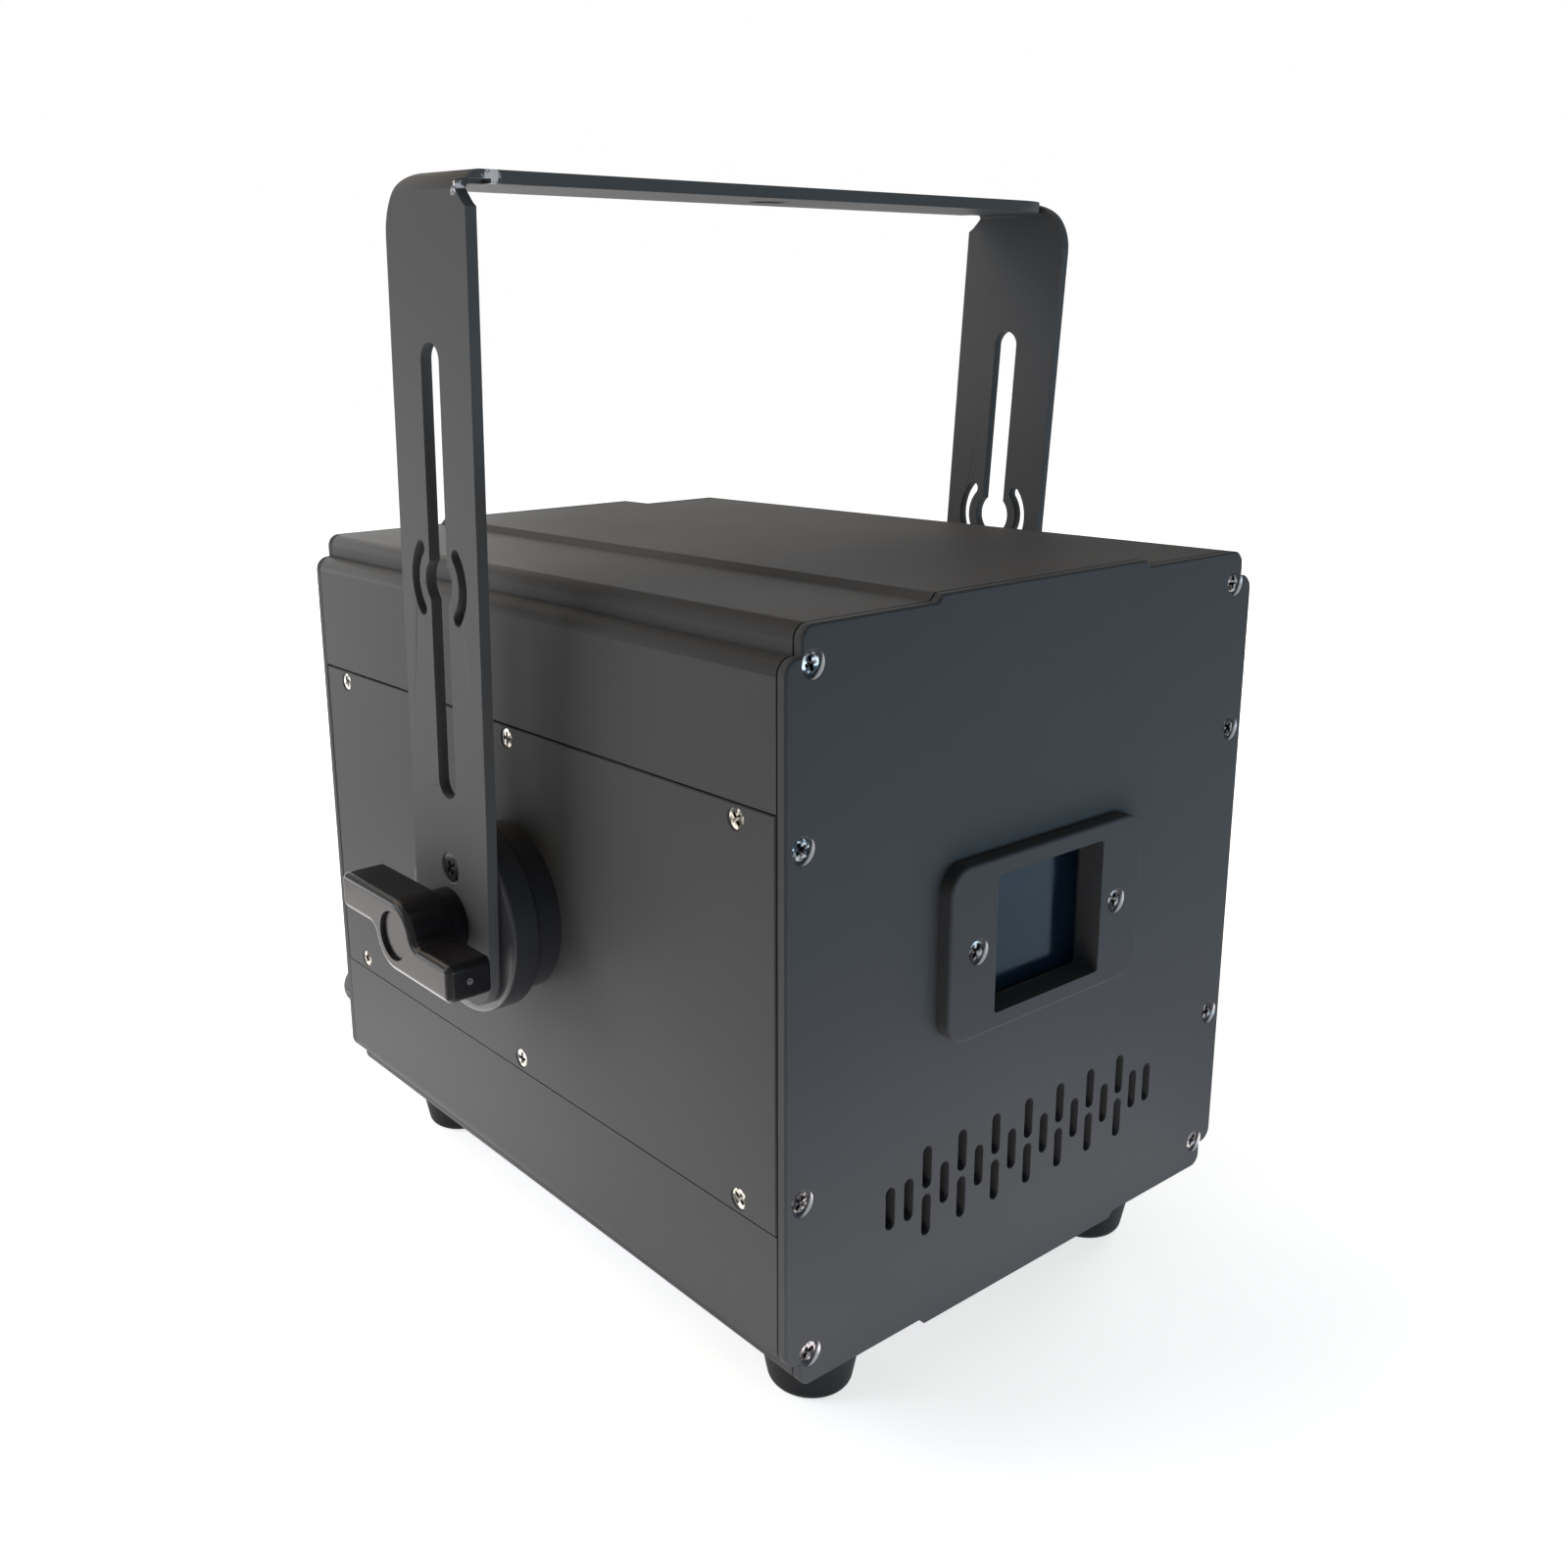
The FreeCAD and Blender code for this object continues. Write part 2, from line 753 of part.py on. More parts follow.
def case_disc():
    """Disc on the side panel, with the spigot that the yoke turns on."""
    face = side_x + case_disc_thickness
    body = turned([(side_x, 0, 0), (side_x, case_disc_r, 0), (face, case_disc_r, disc_edge),
                   (face, spigot_r, 0), (face + spigot_height, spigot_r, 0), (face + spigot_height, 0, 0)])
    seat = rod(insert_r + fit_gap, insert_reach + overrun, V(side_x - overrun, 0, 0), X)
    bore = rod(stud_r + fit_gap, case_disc_thickness + spigot_height + overrun, V(side_x, 0, 0), X)
    return body.cut([seat, bore])


def pivot_insert():
    """Flanged threaded insert, from inside the side panel into the disc."""
    tip = side_x + insert_reach - fit_gap
    body = turned([(panel_back - insert_flange, 0, 0), (panel_back - insert_flange, insert_flange_r, 0),
                   (panel_back, insert_flange_r, 0), (panel_back, insert_r, 0), (tip, insert_r, 0),
                   (tip, 0, 0)])
    return body.cut(rod(stud_r + fit_gap, case_width, V(0, 0, 0), X))


def disc_screw_heights():
    return (-disc_screw_reach, disc_screw_reach)


def yoke_disc():
    """Disc on the inside of the yoke's leg, turning on the spigot."""
    body = turned([(yoke_disc_x, 0, 0), (yoke_disc_x, disc_r, disc_edge), (leg_inner_x, disc_r, disc_edge),
                   (leg_inner_x, 0, 0)])
    socket = rod(spigot_r + fit_gap, spigot_height + overrun, V(yoke_disc_x - overrun + face_gap, 0, 0), X)
    bore = rod(leg_hole_r, yoke_disc_thickness + overrun * 2, V(yoke_disc_x - overrun, 0, 0), X)
    tapped = m4_length - strip_thickness + sunk(m4_sink_r, m4_head_r) + face_gap
    holes = [rod(hole_m4_r, tapped + overrun, V(leg_inner_x + overrun, 0, z), -X)
             for z in disc_screw_heights()]
    return body.cut([socket, bore] + holes)


def yoke_disc_screws():
    screw = countersunk(m4_head_r, m4_shank_r, m4_length)
    face = leg_outer_x - sunk(m4_sink_r, m4_head_r)
    right = [aimed(screw, V(face, 0, z), X) for z in disc_screw_heights()]
    return group(right + [other_side(one) for one in right])


# Yoke bracket, drawn upright

def bent_strip():
    """The strip bent to a U, with sharp ends and full width."""
    inner_r = bend_outer_r - strip_thickness
    under = yoke_height - strip_thickness
    right = [(top_outer_x, yoke_height, bend_outer_r), (leg_outer_x, splay_start, 0),
             (leg_outer_x, -leg_below, 0), (leg_inner_x, -leg_below, 0), (leg_inner_x, splay_start, 0),
             (top_inner_x, under, inner_r)]
    left = [(-a, b, r) for a, b, r in reversed(right)]
    return prism(right + left, "xz", -strip_width / 2, strip_width)


def corner_waste(corners, plane, at, length):
    """What lies between a square corner and its rounded form."""
    square = [(a, b, 0) for a, b, _ in corners]
    return prism(square, plane, at, length).cut(prism(corners, plane, at, length))


def rounded_bend():
    """Waste at the front of the right bend: the leg's corner is rounded, and the bar widens again behind it."""
    half = strip_width / 2
    reach = bar_round * 2
    low = yoke_height - reach
    bend_start = top_outer_x - bend_outer_r
    leg_side = corner_waste([(-half, low, 0), (half, low, 0), (half, yoke_height, 0),
                             (-half, yoke_height, corner_round)], "yz", bend_start, bend_outer_r + overrun)
    bar_side = corner_waste([(bend_start - reach, half, 0), (bend_start - reach, -half, 0),
                             (top_outer_x, -half, bar_round), (top_outer_x, half, 0)], "xy", low, reach + overrun)
    along_bar = prism([(bend_start - reach, low, 0), (bend_start, low, 0), (bend_start, yoke_height + overrun, 0),
                       (bend_start - reach, yoke_height + overrun, 0)], "xz", -half - overrun,
                      strip_width + overrun * 2)
    return leg_side.fuse(bar_side.common(along_bar))


def relief_notch():
    """Waste at the rear of the right bend: a small relief notch under the bar."""
    edge = strip_width / 2
    return prism([(edge + overrun, yoke_height - notch_low, 0),
                  (edge, yoke_height - notch_low, notch_blend),
                  (edge - notch_depth, yoke_height - notch_low + notch_depth, notch_round),
                  (edge - notch_depth, yoke_height - notch_high, notch_round),
                  (edge + overrun, yoke_height - notch_high, 0)],
                 "yz", top_inner_x - bend_outer_r, strip_thickness + bend_outer_r + overrun)


def arc_slot(middle_deg):
    """Curved slot round the eye of the leg, about a direction in the plane of the leg."""
    inner = arc_slot_r - arc_slot_width / 2
    outer = arc_slot_r + arc_slot_width / 2
    start = V(leg_inner_x - overrun, 0, eye_height)
    length = strip_thickness + overrun * 2
    sector = rod(outer, length, start, X).cut(rod(inner, length, start, X))
    ends = []
    lines = []
    for angle in (middle_deg - arc_slot_half_deg, middle_deg + arc_slot_half_deg):
        a = math.radians(angle)
        toward = V(0, math.cos(a), math.sin(a))
        ends.append(rod(arc_slot_width / 2, length, start + toward * arc_slot_r, X))
        lines.append(start + toward * (outer + overrun) / math.cos(math.radians(arc_slot_half_deg / 2)))
    a = math.radians(middle_deg)
    far = start + V(0, math.cos(a), math.sin(a)) * (outer + overrun) * 2
    wedge = Part.Face(Part.makePolygon([start, lines[0], far, lines[1], start])).extrude(X * length)
    return sector.common(wedge).multiFuse(ends)


def leg_cuts():
    """Everything that is cut from the right leg."""
    length = strip_thickness + overrun * 2
    near = leg_inner_x - overrun
    half = strip_width / 2
    slot_height = slot_high - slot_low
    slot_form = rectangle(0, slot_low + slot_height / 2, slot_width, slot_height, slot_width / 2)
    slot = prism(slot_form, "yz", near, length)
    foot_end = corner_waste([(-half, -leg_below, leg_round), (half, -leg_below, leg_round), (half, 0, 0),
                             (-half, 0, 0)], "yz", near, length)
    tool = countersink(m4_sink_r, hole_m4_r, strip_thickness + overrun)
    sinks = [aimed(tool, V(leg_outer_x, 0, z), X) for z in disc_screw_heights()]
    return [slot, foot_end, rod(eye_r, length, V(near, 0, eye_height), X),
            rod(leg_hole_r, length, V(near, 0, 0), X), arc_slot(0), arc_slot(180),
            rounded_bend(), relief_notch()] + sinks


def yoke_bracket():
    cuts = leg_cuts()
    cuts += [other_side(cut) for cut in cuts]
    cuts.append(rod(clamp_hole_r, strip_thickness + overrun * 2, V(0, 0, yoke_height + overrun), -Z))
    return bent_strip().cut(cuts)


def leaning(shape):
    """The yoke's own pieces at the lean that it is clamped at."""
    shape.rotate(MIDDLE, X, yoke_lean_deg)
    return shape


# Wing knob, drawn on the right side

def is_wing_root(edge):
    """Test for the two inner corners where a wing meets the hub."""
    return all(abs(abs(v.Point.y) - hub_r) < fit_gap and abs(v.Point.z) < fit_gap for v in edge.Vertexes)


def clamp_knob():
    neck_face = leg_outer_x + face_gap
    face = leg_outer_x + knob_reach
    wing = [(0, 0, 0), (0, hub_r, 0), (-wing_length, hub_r, wing_tip_round),
            (-wing_length, 0, wing_tip_round)]
    back = face - wing_depth
    lobe = prism(wing, "yz", back, wing_depth)
    opposite = lobe.copy()
    opposite.rotate(MIDDLE, X, 180)
    wings = fused([rod(hub_r, wing_depth, V(back, 0, 0), X), lobe, opposite])
    wings = softened(wings, wing_root_round, is_wing_root)
    wings = softened(wings, knob_edge, lies_at(X, face))
    wings = softened(wings, knob_back_edge, lies_at(X, back))
    neck = rod(neck_r, face - wing_depth / 2 - neck_face, V(neck_face, 0, 0), X)
    recess = rod(cap_r + fit_gap, cap_recess + overrun, V(face - cap_recess, 0, 0), X)
    bore = rod(stud_r + fit_gap, stud_grip + overrun, V(neck_face - overrun, 0, 0), X)
    return fused([wings, neck]).cut([recess, bore])


def knob_cap():
    floor = leg_outer_x + knob_reach - cap_recess
    return turned([(floor, 0, 0), (floor, cap_r, 0), (floor + cap_thickness, cap_r, cap_thickness / 2),
                   (floor + cap_thickness, 0, 0)])


def clamp_stud():
    start = panel_back - stud_tail
    end = leg_outer_x + face_gap + stud_grip
    return rod(stud_r, end - start, V(start, 0, 0), X)


# Rear plate and its fittings

def rear_prism(place, corners, start, length):
    """Outline about a place on the rear plate, pulled towards the rear."""
    return prism([(a + place[0], b + place[1], r) for a, b, r in corners], "xz", start, length)


def rear_rod(place, radius, start, length):
    return rod(radius, length, V(place[0], start, place[1]), Y)


def rear_turned(place, corners):
    """Body turned about Y through a place on the rear plate; 0 along it is the rear face."""
    return aimed(turned(corners), V(place[0], rear_face, place[1]), Y)


def through_rear(place, corners):
    return rear_prism(place, corners, shell_end - overrun, plate_thickness + overrun * 2)


def round_through_rear(place, radius):
    return rear_rod(place, radius, shell_end - overrun, plate_thickness + overrun * 2)


def button_places():
    return [(button_first[0] + i * button_pitch, button_z) for i in range(button_count)]


def fan_screw_places():
    half = fan_screw_spacing / 2
    return [(fan_place[0] + sx * half, fan_place[1] + sz * half) for sx in (-1, 1) for sz in (-1, 1)]


def socket_screw_places():
    return [(place[0] + s * socket_screw_x, place[1] - s * socket_screw_z)
            for place in (socket_in_place, socket_out_place) for s in (-1, 1)]


def eye_screw_places():
    return [(eye_place[0], eye_place[1] + s * eye_screw_spacing / 2) for s in (-1, 1)]


def fan_slot_cuts():
    """Slots over the fan, each as long as the fan's bore is there."""
    cuts = []
    for i in range(fan_slots):
        x = (i - (fan_slots - 1) / 2) * fan_slot_pitch
        height = 2 * math.sqrt(fan_bore_r ** 2 - x ** 2) - fan_slot_width
        cuts.append(through_rear(fan_place, rectangle(x, 0, fan_slot_width, height, fan_slot_width / 2)))
    return cuts


def rear_plate():
    plate = end_plate(rear_face)
    cuts = fan_slot_cuts()
    inlet_hole = rectangle(0, 0, inlet_body_width + face_gap, inlet_body_height + face_gap)
    switch_hole = rectangle(0, 0, switch_body_width + face_gap, switch_body_height + face_gap)
    cuts.append(through_rear(inlet_place, inlet_hole))
    cuts.append(round_through_rear(fuse_place, fuse_body_r + fit_gap))
    cuts += [round_through_rear(place, socket_body_r + fit_gap)
             for place in (socket_in_place, socket_out_place)]
    cuts.append(through_rear(data_place, rectangle(0, 0, data_shell_width, data_shell_height)))
    cuts.append(through_rear(switch_place, switch_hole))
    cuts.append(round_through_rear(lock_place, lock_body_r + fit_gap))
    cuts.append(through_rear(display_place, rectangle(0, 0, display_opening_width, display_opening_height)))
    cuts += [round_through_rear(place, button_r + button_play) for place in button_places()]
    small = fan_screw_places() + socket_screw_places() + eye_screw_places()
    cuts += [round_through_rear(place, hole_m3_r) for place in small]
    return plate.cut(cuts)


def mains_inlet():
    flange = rear_prism(inlet_place, rectangle(0, 0, inlet_flange_width, inlet_flange_height, inlet_round),
                        rear_face, inlet_flange)
    body = rear_prism(inlet_place, rectangle(0, 0, inlet_body_width, inlet_body_height),
                      rear_face - inlet_body_depth, inlet_body_depth)
    lip = rear_face + inlet_flange
    floor = lip - inlet_mouth_depth
    mouth = rear_prism(inlet_place, rectangle(0, 0, inlet_mouth_width, inlet_mouth_height, inlet_mouth_round),
                       floor, inlet_mouth_depth + overrun)
    places = [(-inlet_pin_spacing, 0), (0, inlet_earth_rise), (inlet_pin_spacing, 0)]
    pins = [rear_prism(inlet_place, rectangle(x, z, inlet_pin_width, inlet_pin_height),
                       floor, inlet_pin_length) for x, z in places]
    return fused([fused([flange, body]).cut(mouth)] + pins)


def fuse_holder():
    inner = -plate_thickness
    return rear_turned(fuse_place, [
        (fuse_reach, 0, 0), (fuse_reach, fuse_cap_r, fuse_edge), (fuse_flange, fuse_cap_r, 0),
        (fuse_flange, fuse_flange_r, 0), (0, fuse_flange_r, 0), (0, fuse_body_r, 0), (inner, fuse_body_r, 0),
        (inner, fuse_nut_r, 0), (inner - fuse_nut, fuse_nut_r, 0), (inner - fuse_nut, fuse_body_r, 0),
        (-fuse_body_length, fuse_body_r, 0), (-fuse_body_length, 0, 0)])


def socket_blank(place):
    form = rectangle(0, 0, socket_flange_width, socket_flange_height, socket_flange_round)
    flange = rear_prism(place, form, rear_face, socket_flange)
    body = rear_rod(place, socket_body_r, rear_face - socket_body_depth, socket_body_depth)
    holes = [rear_rod((place[0] + s * socket_screw_x, place[1] - s * socket_screw_z), hole_m3_r,
                      rear_face - overrun, socket_flange + overrun * 2) for s in (-1, 1)]
    return fused([flange, body]).cut(holes)


def socket_contacts(place):
    """Three contact places round the socket's axis."""
    angles = [math.radians(a) for a in (30, 150, 270)]
    return [(place[0] + socket_pin_circle_r * math.cos(a), place[1] + socket_pin_circle_r * math.sin(a))
            for a in angles]


def signal_in_socket():
    lip = rear_face + socket_flange
    floor = lip - socket_mouth_depth
    shell_part = socket_blank(socket_in_place).cut(
        rear_rod(socket_in_place, socket_mouth_r, floor, socket_mouth_depth + overrun))
    pins = [rear_rod(at, socket_pin_r, floor, socket_pin_length) for at in socket_contacts(socket_in_place)]
    return fused([shell_part] + pins)


def signal_out_socket():
    lip = rear_face + socket_flange
    face = rear_rod(socket_out_place, socket_mouth_r, lip - socket_face_depth, socket_face_depth + overrun)
    holes = [rear_rod(at, socket_hole_r, lip - socket_hole_depth, socket_hole_depth + overrun)
             for at in socket_contacts(socket_out_place)]
    return socket_blank(socket_out_place).cut([face] + holes)


def data_socket():
    """Wide connector with a slanted metal shell and two hexagon posts."""
    flange = rear_prism(data_place, rectangle(0, 0, data_flange_width, data_flange_height, data_flange_round),
                        rear_face, data_flange)
    half_w = data_shell_width / 2 - face_gap
    half_h = data_shell_height / 2 - face_gap
    form = [(-half_w + data_shell_slant, -half_h, data_shell_round),
            (half_w - data_shell_slant, -half_h, data_shell_round),
            (half_w, half_h, data_shell_round), (-half_w, half_h, data_shell_round)]
    body = rear_prism(data_place, form, rear_face - data_body_depth, data_body_depth + data_shell_reach)
    posts = []
    for side in (-1, 1):
        corners = [(side * data_post_spacing / 2 + data_post_r * math.cos(k * math.pi / 3),
                    data_post_r * math.sin(k * math.pi / 3), 0) for k in range(6)]
        posts.append(rear_prism(data_place, corners, rear_face, data_flange + data_post_length))
    return fused([flange, body] + posts)


def switch_frame():
    form = rectangle(0, 0, switch_flange_width, switch_flange_height, switch_flange_round)
    flange = rear_prism(switch_place, form, rear_face, switch_flange)
    body = rear_prism(switch_place, rectangle(0, 0, switch_body_width, switch_body_height),
                      rear_face - switch_body_depth, switch_body_depth)
    room = rectangle(0, 0, rocker_width + rocker_play * 2, (rocker_half + rocker_play) * 2)
    pocket = rear_prism(switch_place, room, rocker_axis_y() - rocker_depth - rocker_play, rocker_depth * 3)
    pin_length = (switch_body_width + rocker_width) / 2
    pin_hole = rod(rocker_pin_r + fit_gap, pin_length + face_gap,
                   V(switch_place[0] - (pin_length + face_gap) / 2, rocker_axis_y(), switch_place[1]), X)
    return fused([flange, body]).cut([pocket, pin_hole])


def rocker_axis_y():
    return rear_face - switch_flange


def power_rocker():
    """Rocker with a ridged face, round sides about its pin, resting on its off side."""
    y = rocker_axis_y()
    peak = switch_flange * 2
    rise = rocker_half * math.tan(math.radians(rocker_throw_deg))
    form = [(-rocker_half, -rocker_depth / 2, 0), (rocker_half, -rocker_depth / 2, 0),
            (rocker_half, peak + rise, 0), (0, peak, 0), (-rocker_half, peak + rise, 0)]
    face = Part.Face(Part.makePolygon([V(switch_place[0] - rocker_width / 2, y + b, switch_place[1] + a)
                                       for a, b, _ in form + form[:1]]))
    body = face.extrude(X * rocker_width)
    bound = rod(rocker_half, rocker_width, V(switch_place[0] - rocker_width / 2, y, switch_place[1]), X)
    pin_length = (switch_body_width + rocker_width) / 2
    pin = rod(rocker_pin_r, pin_length, V(switch_place[0] - pin_length / 2, y, switch_place[1]), X)
    rocker = fused([body.common(bound), pin])
    rocker.rotate(V(switch_place[0], y, switch_place[1]), X, rocker_throw_deg)
    return rocker


def lock_body():
    bore = barrel_r + fit_gap
    return rear_turned(lock_place, [
        (lock_flange, bore, 0), (lock_flange, lock_flange_r, lock_edge), (0, lock_flange_r, 0),
        (0, lock_body_r, 0), (-lock_body_depth, lock_body_r, 0), (-lock_body_depth, bore, 0)])


def lock_barrel():
    face = lock_flange + barrel_proud
    body = rear_turned(lock_place, [(face, 0, 0), (face, barrel_r, lock_edge / 2),
                                    (-lock_body_depth, barrel_r, 0), (-lock_body_depth, 0, 0)])
    slot = rear_prism(lock_place, rectangle(0, 0, key_slot_width, key_slot_height),
                      rear_face + face - key_slot_depth, key_slot_depth + overrun)
    return body.cut(slot)


def display_window():
    return rear_prism(display_place, rectangle(0, 0, display_width, display_height, display_round),
                      rear_face, display_thickness)


def menu_button(place):
    stem_end = board_face + tact_height + button_travel + face_gap - rear_face
    flange_top = -plate_thickness - face_gap
    return rear_turned(place, [
        (button_proud, 0, 0), (button_proud, button_r, button_edge), (flange_top, button_r, 0),
        (flange_top, button_flange_r, 0), (flange_top - button_flange, button_flange_r, 0),
        (flange_top - button_flange, button_stem_r, 0), (stem_end, button_stem_r, 0), (stem_end, 0, 0)])


def safety_eye():
    base_form = rectangle(0, 0, eye_base_width, eye_base_height, eye_base_round)
    base = rear_prism(eye_place, base_form, rear_face, eye_base)
    left = eye_place[0] - eye_lug_thickness / 2
    top = rear_face + eye_reach
    lug = prism([(rear_face, eye_place[1] - eye_lug_r, 0), (top, eye_place[1] - eye_lug_r, eye_lug_r),
                 (top, eye_place[1] + eye_lug_r, eye_lug_r), (rear_face, eye_place[1] + eye_lug_r, 0)],
                "yz", left, eye_lug_thickness)
    start = V(left - overrun, top - eye_lug_r, eye_place[1])
    hole = rod(eye_hole_r, eye_lug_thickness + overrun * 2, start, X)
    screws = [rear_rod(place, hole_m3_r, rear_face - overrun, eye_base + overrun * 2)
              for place in eye_screw_places()]
    return fused([base, lug]).cut([hole] + screws)


def rear_fitting_screws():
    """Pan-head screws of fan, sockets and safety eye."""
    screw = pan_screw(pan_head_r, pan_head_height, m3_shank_r, pan_screw_length)
    seats = [(place, 0) for place in fan_screw_places()]
    seats += [(place, socket_flange) for place in socket_screw_places()]
    seats += [(place, eye_base) for place in eye_screw_places()]
    return group([aimed(screw, V(place[0], rear_face + lift, place[1]), Y) for place, lift in seats])


def control_board():
    """Board on posts behind the rear plate, with display module and push switches."""
    last = button_places()[-1][0]
    left = display_place[0] - display_opening_width / 2 - board_margin
    right = last + tact_size / 2 + board_margin
    z0 = button_z - board_height / 2
    z1 = button_z + board_height / 2
    board = block(left, right, board_face - board_thickness, board_face, z0, z1)
    tacts = [rear_prism(place, rectangle(0, 0, tact_size, tact_size), board_face, tact_height)
             for place in button_places()]
    module_form = rectangle(0, 0, display_opening_width - face_gap, display_opening_height - face_gap)
    module = rear_prism(display_place, module_form, board_face, board_standoff - face_gap)
    inset = board_post_r + fit_gap
    posts = [rear_rod((x, z), board_post_r, board_face, board_standoff)
             for x in (left + inset, right - inset) for z in (z0 + inset, z1 - inset)]
    return fused([board, module] + tacts + posts)


# Fan

def fan_frame():
    start = shell_end - fan_depth
    frame = rear_prism(fan_place, rectangle(0, 0, fan_size, fan_size, fan_corner_round), start, fan_depth)
    holes = [rear_rod(place, hole_m3_r, start - overrun, fan_depth + overrun * 2)
             for place in fan_screw_places()]
    frame = frame.cut([rear_rod(fan_place, fan_bore_r, start - overrun, fan_depth + overrun * 2)] + holes)
    base = rear_rod(fan_place, fan_motor_r, start, fan_motor_base)
    tube = rear_rod(fan_place, fan_tube_r, start, fan_motor_base + fan_tube_length)
    struts = [rear_prism(fan_place, rectangle(0, 0, fan_bore_r * 2, fan_strut_width), start, fan_motor_base),
              rear_prism(fan_place, rectangle(0, 0, fan_strut_width, fan_bore_r * 2), start, fan_motor_base)]
    bore = rear_rod(fan_place, fan_shaft_r + fit_gap, start - overrun, fan_depth + overrun)
    return fused([frame, base, tube] + struts).cut(bore)


def fan_rotor():
    """Hub cup with its shaft and a ring of pitched blades."""
    start = shell_end - fan_depth + fan_motor_base + fan_end_gap
    end = shell_end - fan_end_gap
    cup = rear_rod(fan_place, fan_hub_r, start, end - start)
    hollow = end - start - fan_hub_wall + overrun
    cup = cup.cut(rear_rod(fan_place, fan_hub_r - fan_hub_wall, start - overrun, hollow))
    shaft_start = shell_end - fan_depth + fan_end_gap
    shaft = rear_rod(fan_place, fan_shaft_r, shaft_start, end - shaft_start)
    ring = rear_rod(fan_place, fan_blade_r, start, end - start).cut(
        rear_rod(fan_place, fan_hub_r - fan_hub_wall / 2, start, end - start))
    middle = V(fan_place[0], (start + end) / 2, fan_place[1])
    blades = []
    for i in range(fan_blades):
        blade = block(0, fan_bore_r, -fan_blade_chord / 2, fan_blade_chord / 2,
                      -fan_blade_thickness / 2, fan_blade_thickness / 2)
        blade.rotate(MIDDLE, X, fan_blade_pitch_deg)
        blade.rotate(MIDDLE, Y, 360 * i / fan_blades)
        blade.translate(middle)
        blades.append(blade.common(ring))
    return fused([cup, shaft] + blades)


# Optics

def optics_bed():
    bed = block(-bed_half_width, bed_half_width, bed_front, bed_rear, bed_bottom, bed_top)
    return bed.makeChamfer(bed_edge, [edge for edge in bed.Edges if lies_at(Z, bed_top)(edge)])


def module_places():
    return [module_first_x + i * module_pitch for i in range(module_count)]


def laser_module(x):
    """Finned module with a nozzle on the beam line."""
    top = beam_z + beam_z - bed_top
    rear = module_front + module_length
    body = block(x - module_width / 2, x + module_width / 2, module_front, rear, bed_top, top)
    pitch = module_width / module_fin_count
    gaps = [block(x + (i - module_fin_count / 2) * pitch - module_fin_gap / 2,
                  x + (i - module_fin_count / 2) * pitch + module_fin_gap / 2,
                  module_front - overrun, rear + overrun, top - module_fin_depth, top + overrun)
            for i in range(1, module_fin_count)]
    nozzle = rod(nozzle_r, nozzle_length, V(x, module_front, beam_z), -Y)
    bore = rod(nozzle_bore_r, nozzle_length * 2, V(x, module_front + nozzle_length, beam_z), -Y)
    return fused([body.cut(gaps), nozzle]).cut(bore)


def laser_modules():
    return group([laser_module(x) for x in module_places()])


def beam_mirrors():
    """Mirror plates on posts that turn each beam into the common line."""
    mirrors = []
    for x in module_places():
        post = block(-mirror_post / 2, mirror_post / 2, -mirror_post / 2, mirror_post / 2,
                     bed_top, beam_z - mirror_size / 2)
        plate = block(-mirror_size / 2, mirror_size / 2, -mirror_thickness / 2, mirror_thickness / 2,
                      beam_z - mirror_size / 2, beam_z + mirror_size / 2)
        holder = fused([post, plate])
        holder.rotate(MIDDLE, Z, 45)
        mirrors.append(moved(holder, x, scan_y))
    return group(mirrors)


def motor_span():
    """Where along its own axis the block grips a motor."""
    start = motor_start + (motor_length - motor_grip_length) / 2
    return start, start + motor_grip_length


def scanner_block():
    """Block with one clamp post for each scanner motor, square to each other."""
    grip = motor_r + scanner_post_wall
    start, end = motor_span()
    base = block(-scanner_base_left, scanner_base_right, scanner_base_front, scanner_base_rear,
                 bed_top, bed_top + scanner_base)
    pan_post = block(-grip, grip, scan_y + start, scan_y + end, bed_top, beam_z + grip)
    tilt_post = block(start, end, scan_y - grip, scan_y + grip, bed_top, window_height_offset + grip)
    near = motor_start - overrun
    length = motor_length + overrun * 2
    bores = [rod(motor_r + fit_gap, length, V(0, scan_y + near, beam_z), Y),
             rod(motor_r + fit_gap, length, V(near, scan_y, window_height_offset), X)]
    return fused([base, pan_post, tilt_post]).cut(bores)


def scanner_motor():
    """Motor drawn along X, with the bearing bore of its mirror shaft."""
    body = rod(motor_r, motor_length, V(motor_start, 0, 0), X)
    bore_length = shaft_socket + face_gap + overrun
    return body.cut(rod(scan_shaft_r + fit_gap, bore_length, V(motor_start - overrun, 0, 0), X))


def scanner_motors():
    return group([aimed(scanner_motor(), V(0, scan_y, beam_z), Y),
                  aimed(scanner_motor(), V(0, scan_y, window_height_offset), X)])


def scan_mirror(length):
    """Mirror and its shaft drawn along X, the mirror plate square to Z."""
    plate = block(-length / 2, length / 2, -scan_mirror_width / 2, scan_mirror_width / 2,
                  -scan_mirror_thickness / 2, scan_mirror_thickness / 2)
    inside = length / 2 - shaft_start / 2
    shaft = rod(scan_shaft_r, motor_start + shaft_socket - inside, V(inside, 0, 0), X)
    return fused([plate, shaft])


def pan_mirror():
    mirror = aimed(scan_mirror(pan_mirror_length), V(0, scan_y, beam_z), Y)
    mirror.rotate(V(0, scan_y, beam_z), Y, 45)
    return mirror


def tilt_mirror():
    mirror = moved(scan_mirror(tilt_mirror_length), 0, scan_y, window_height_offset)
    mirror.rotate(V(0, scan_y, window_height_offset), X, 45)
    return mirror


# Electronics

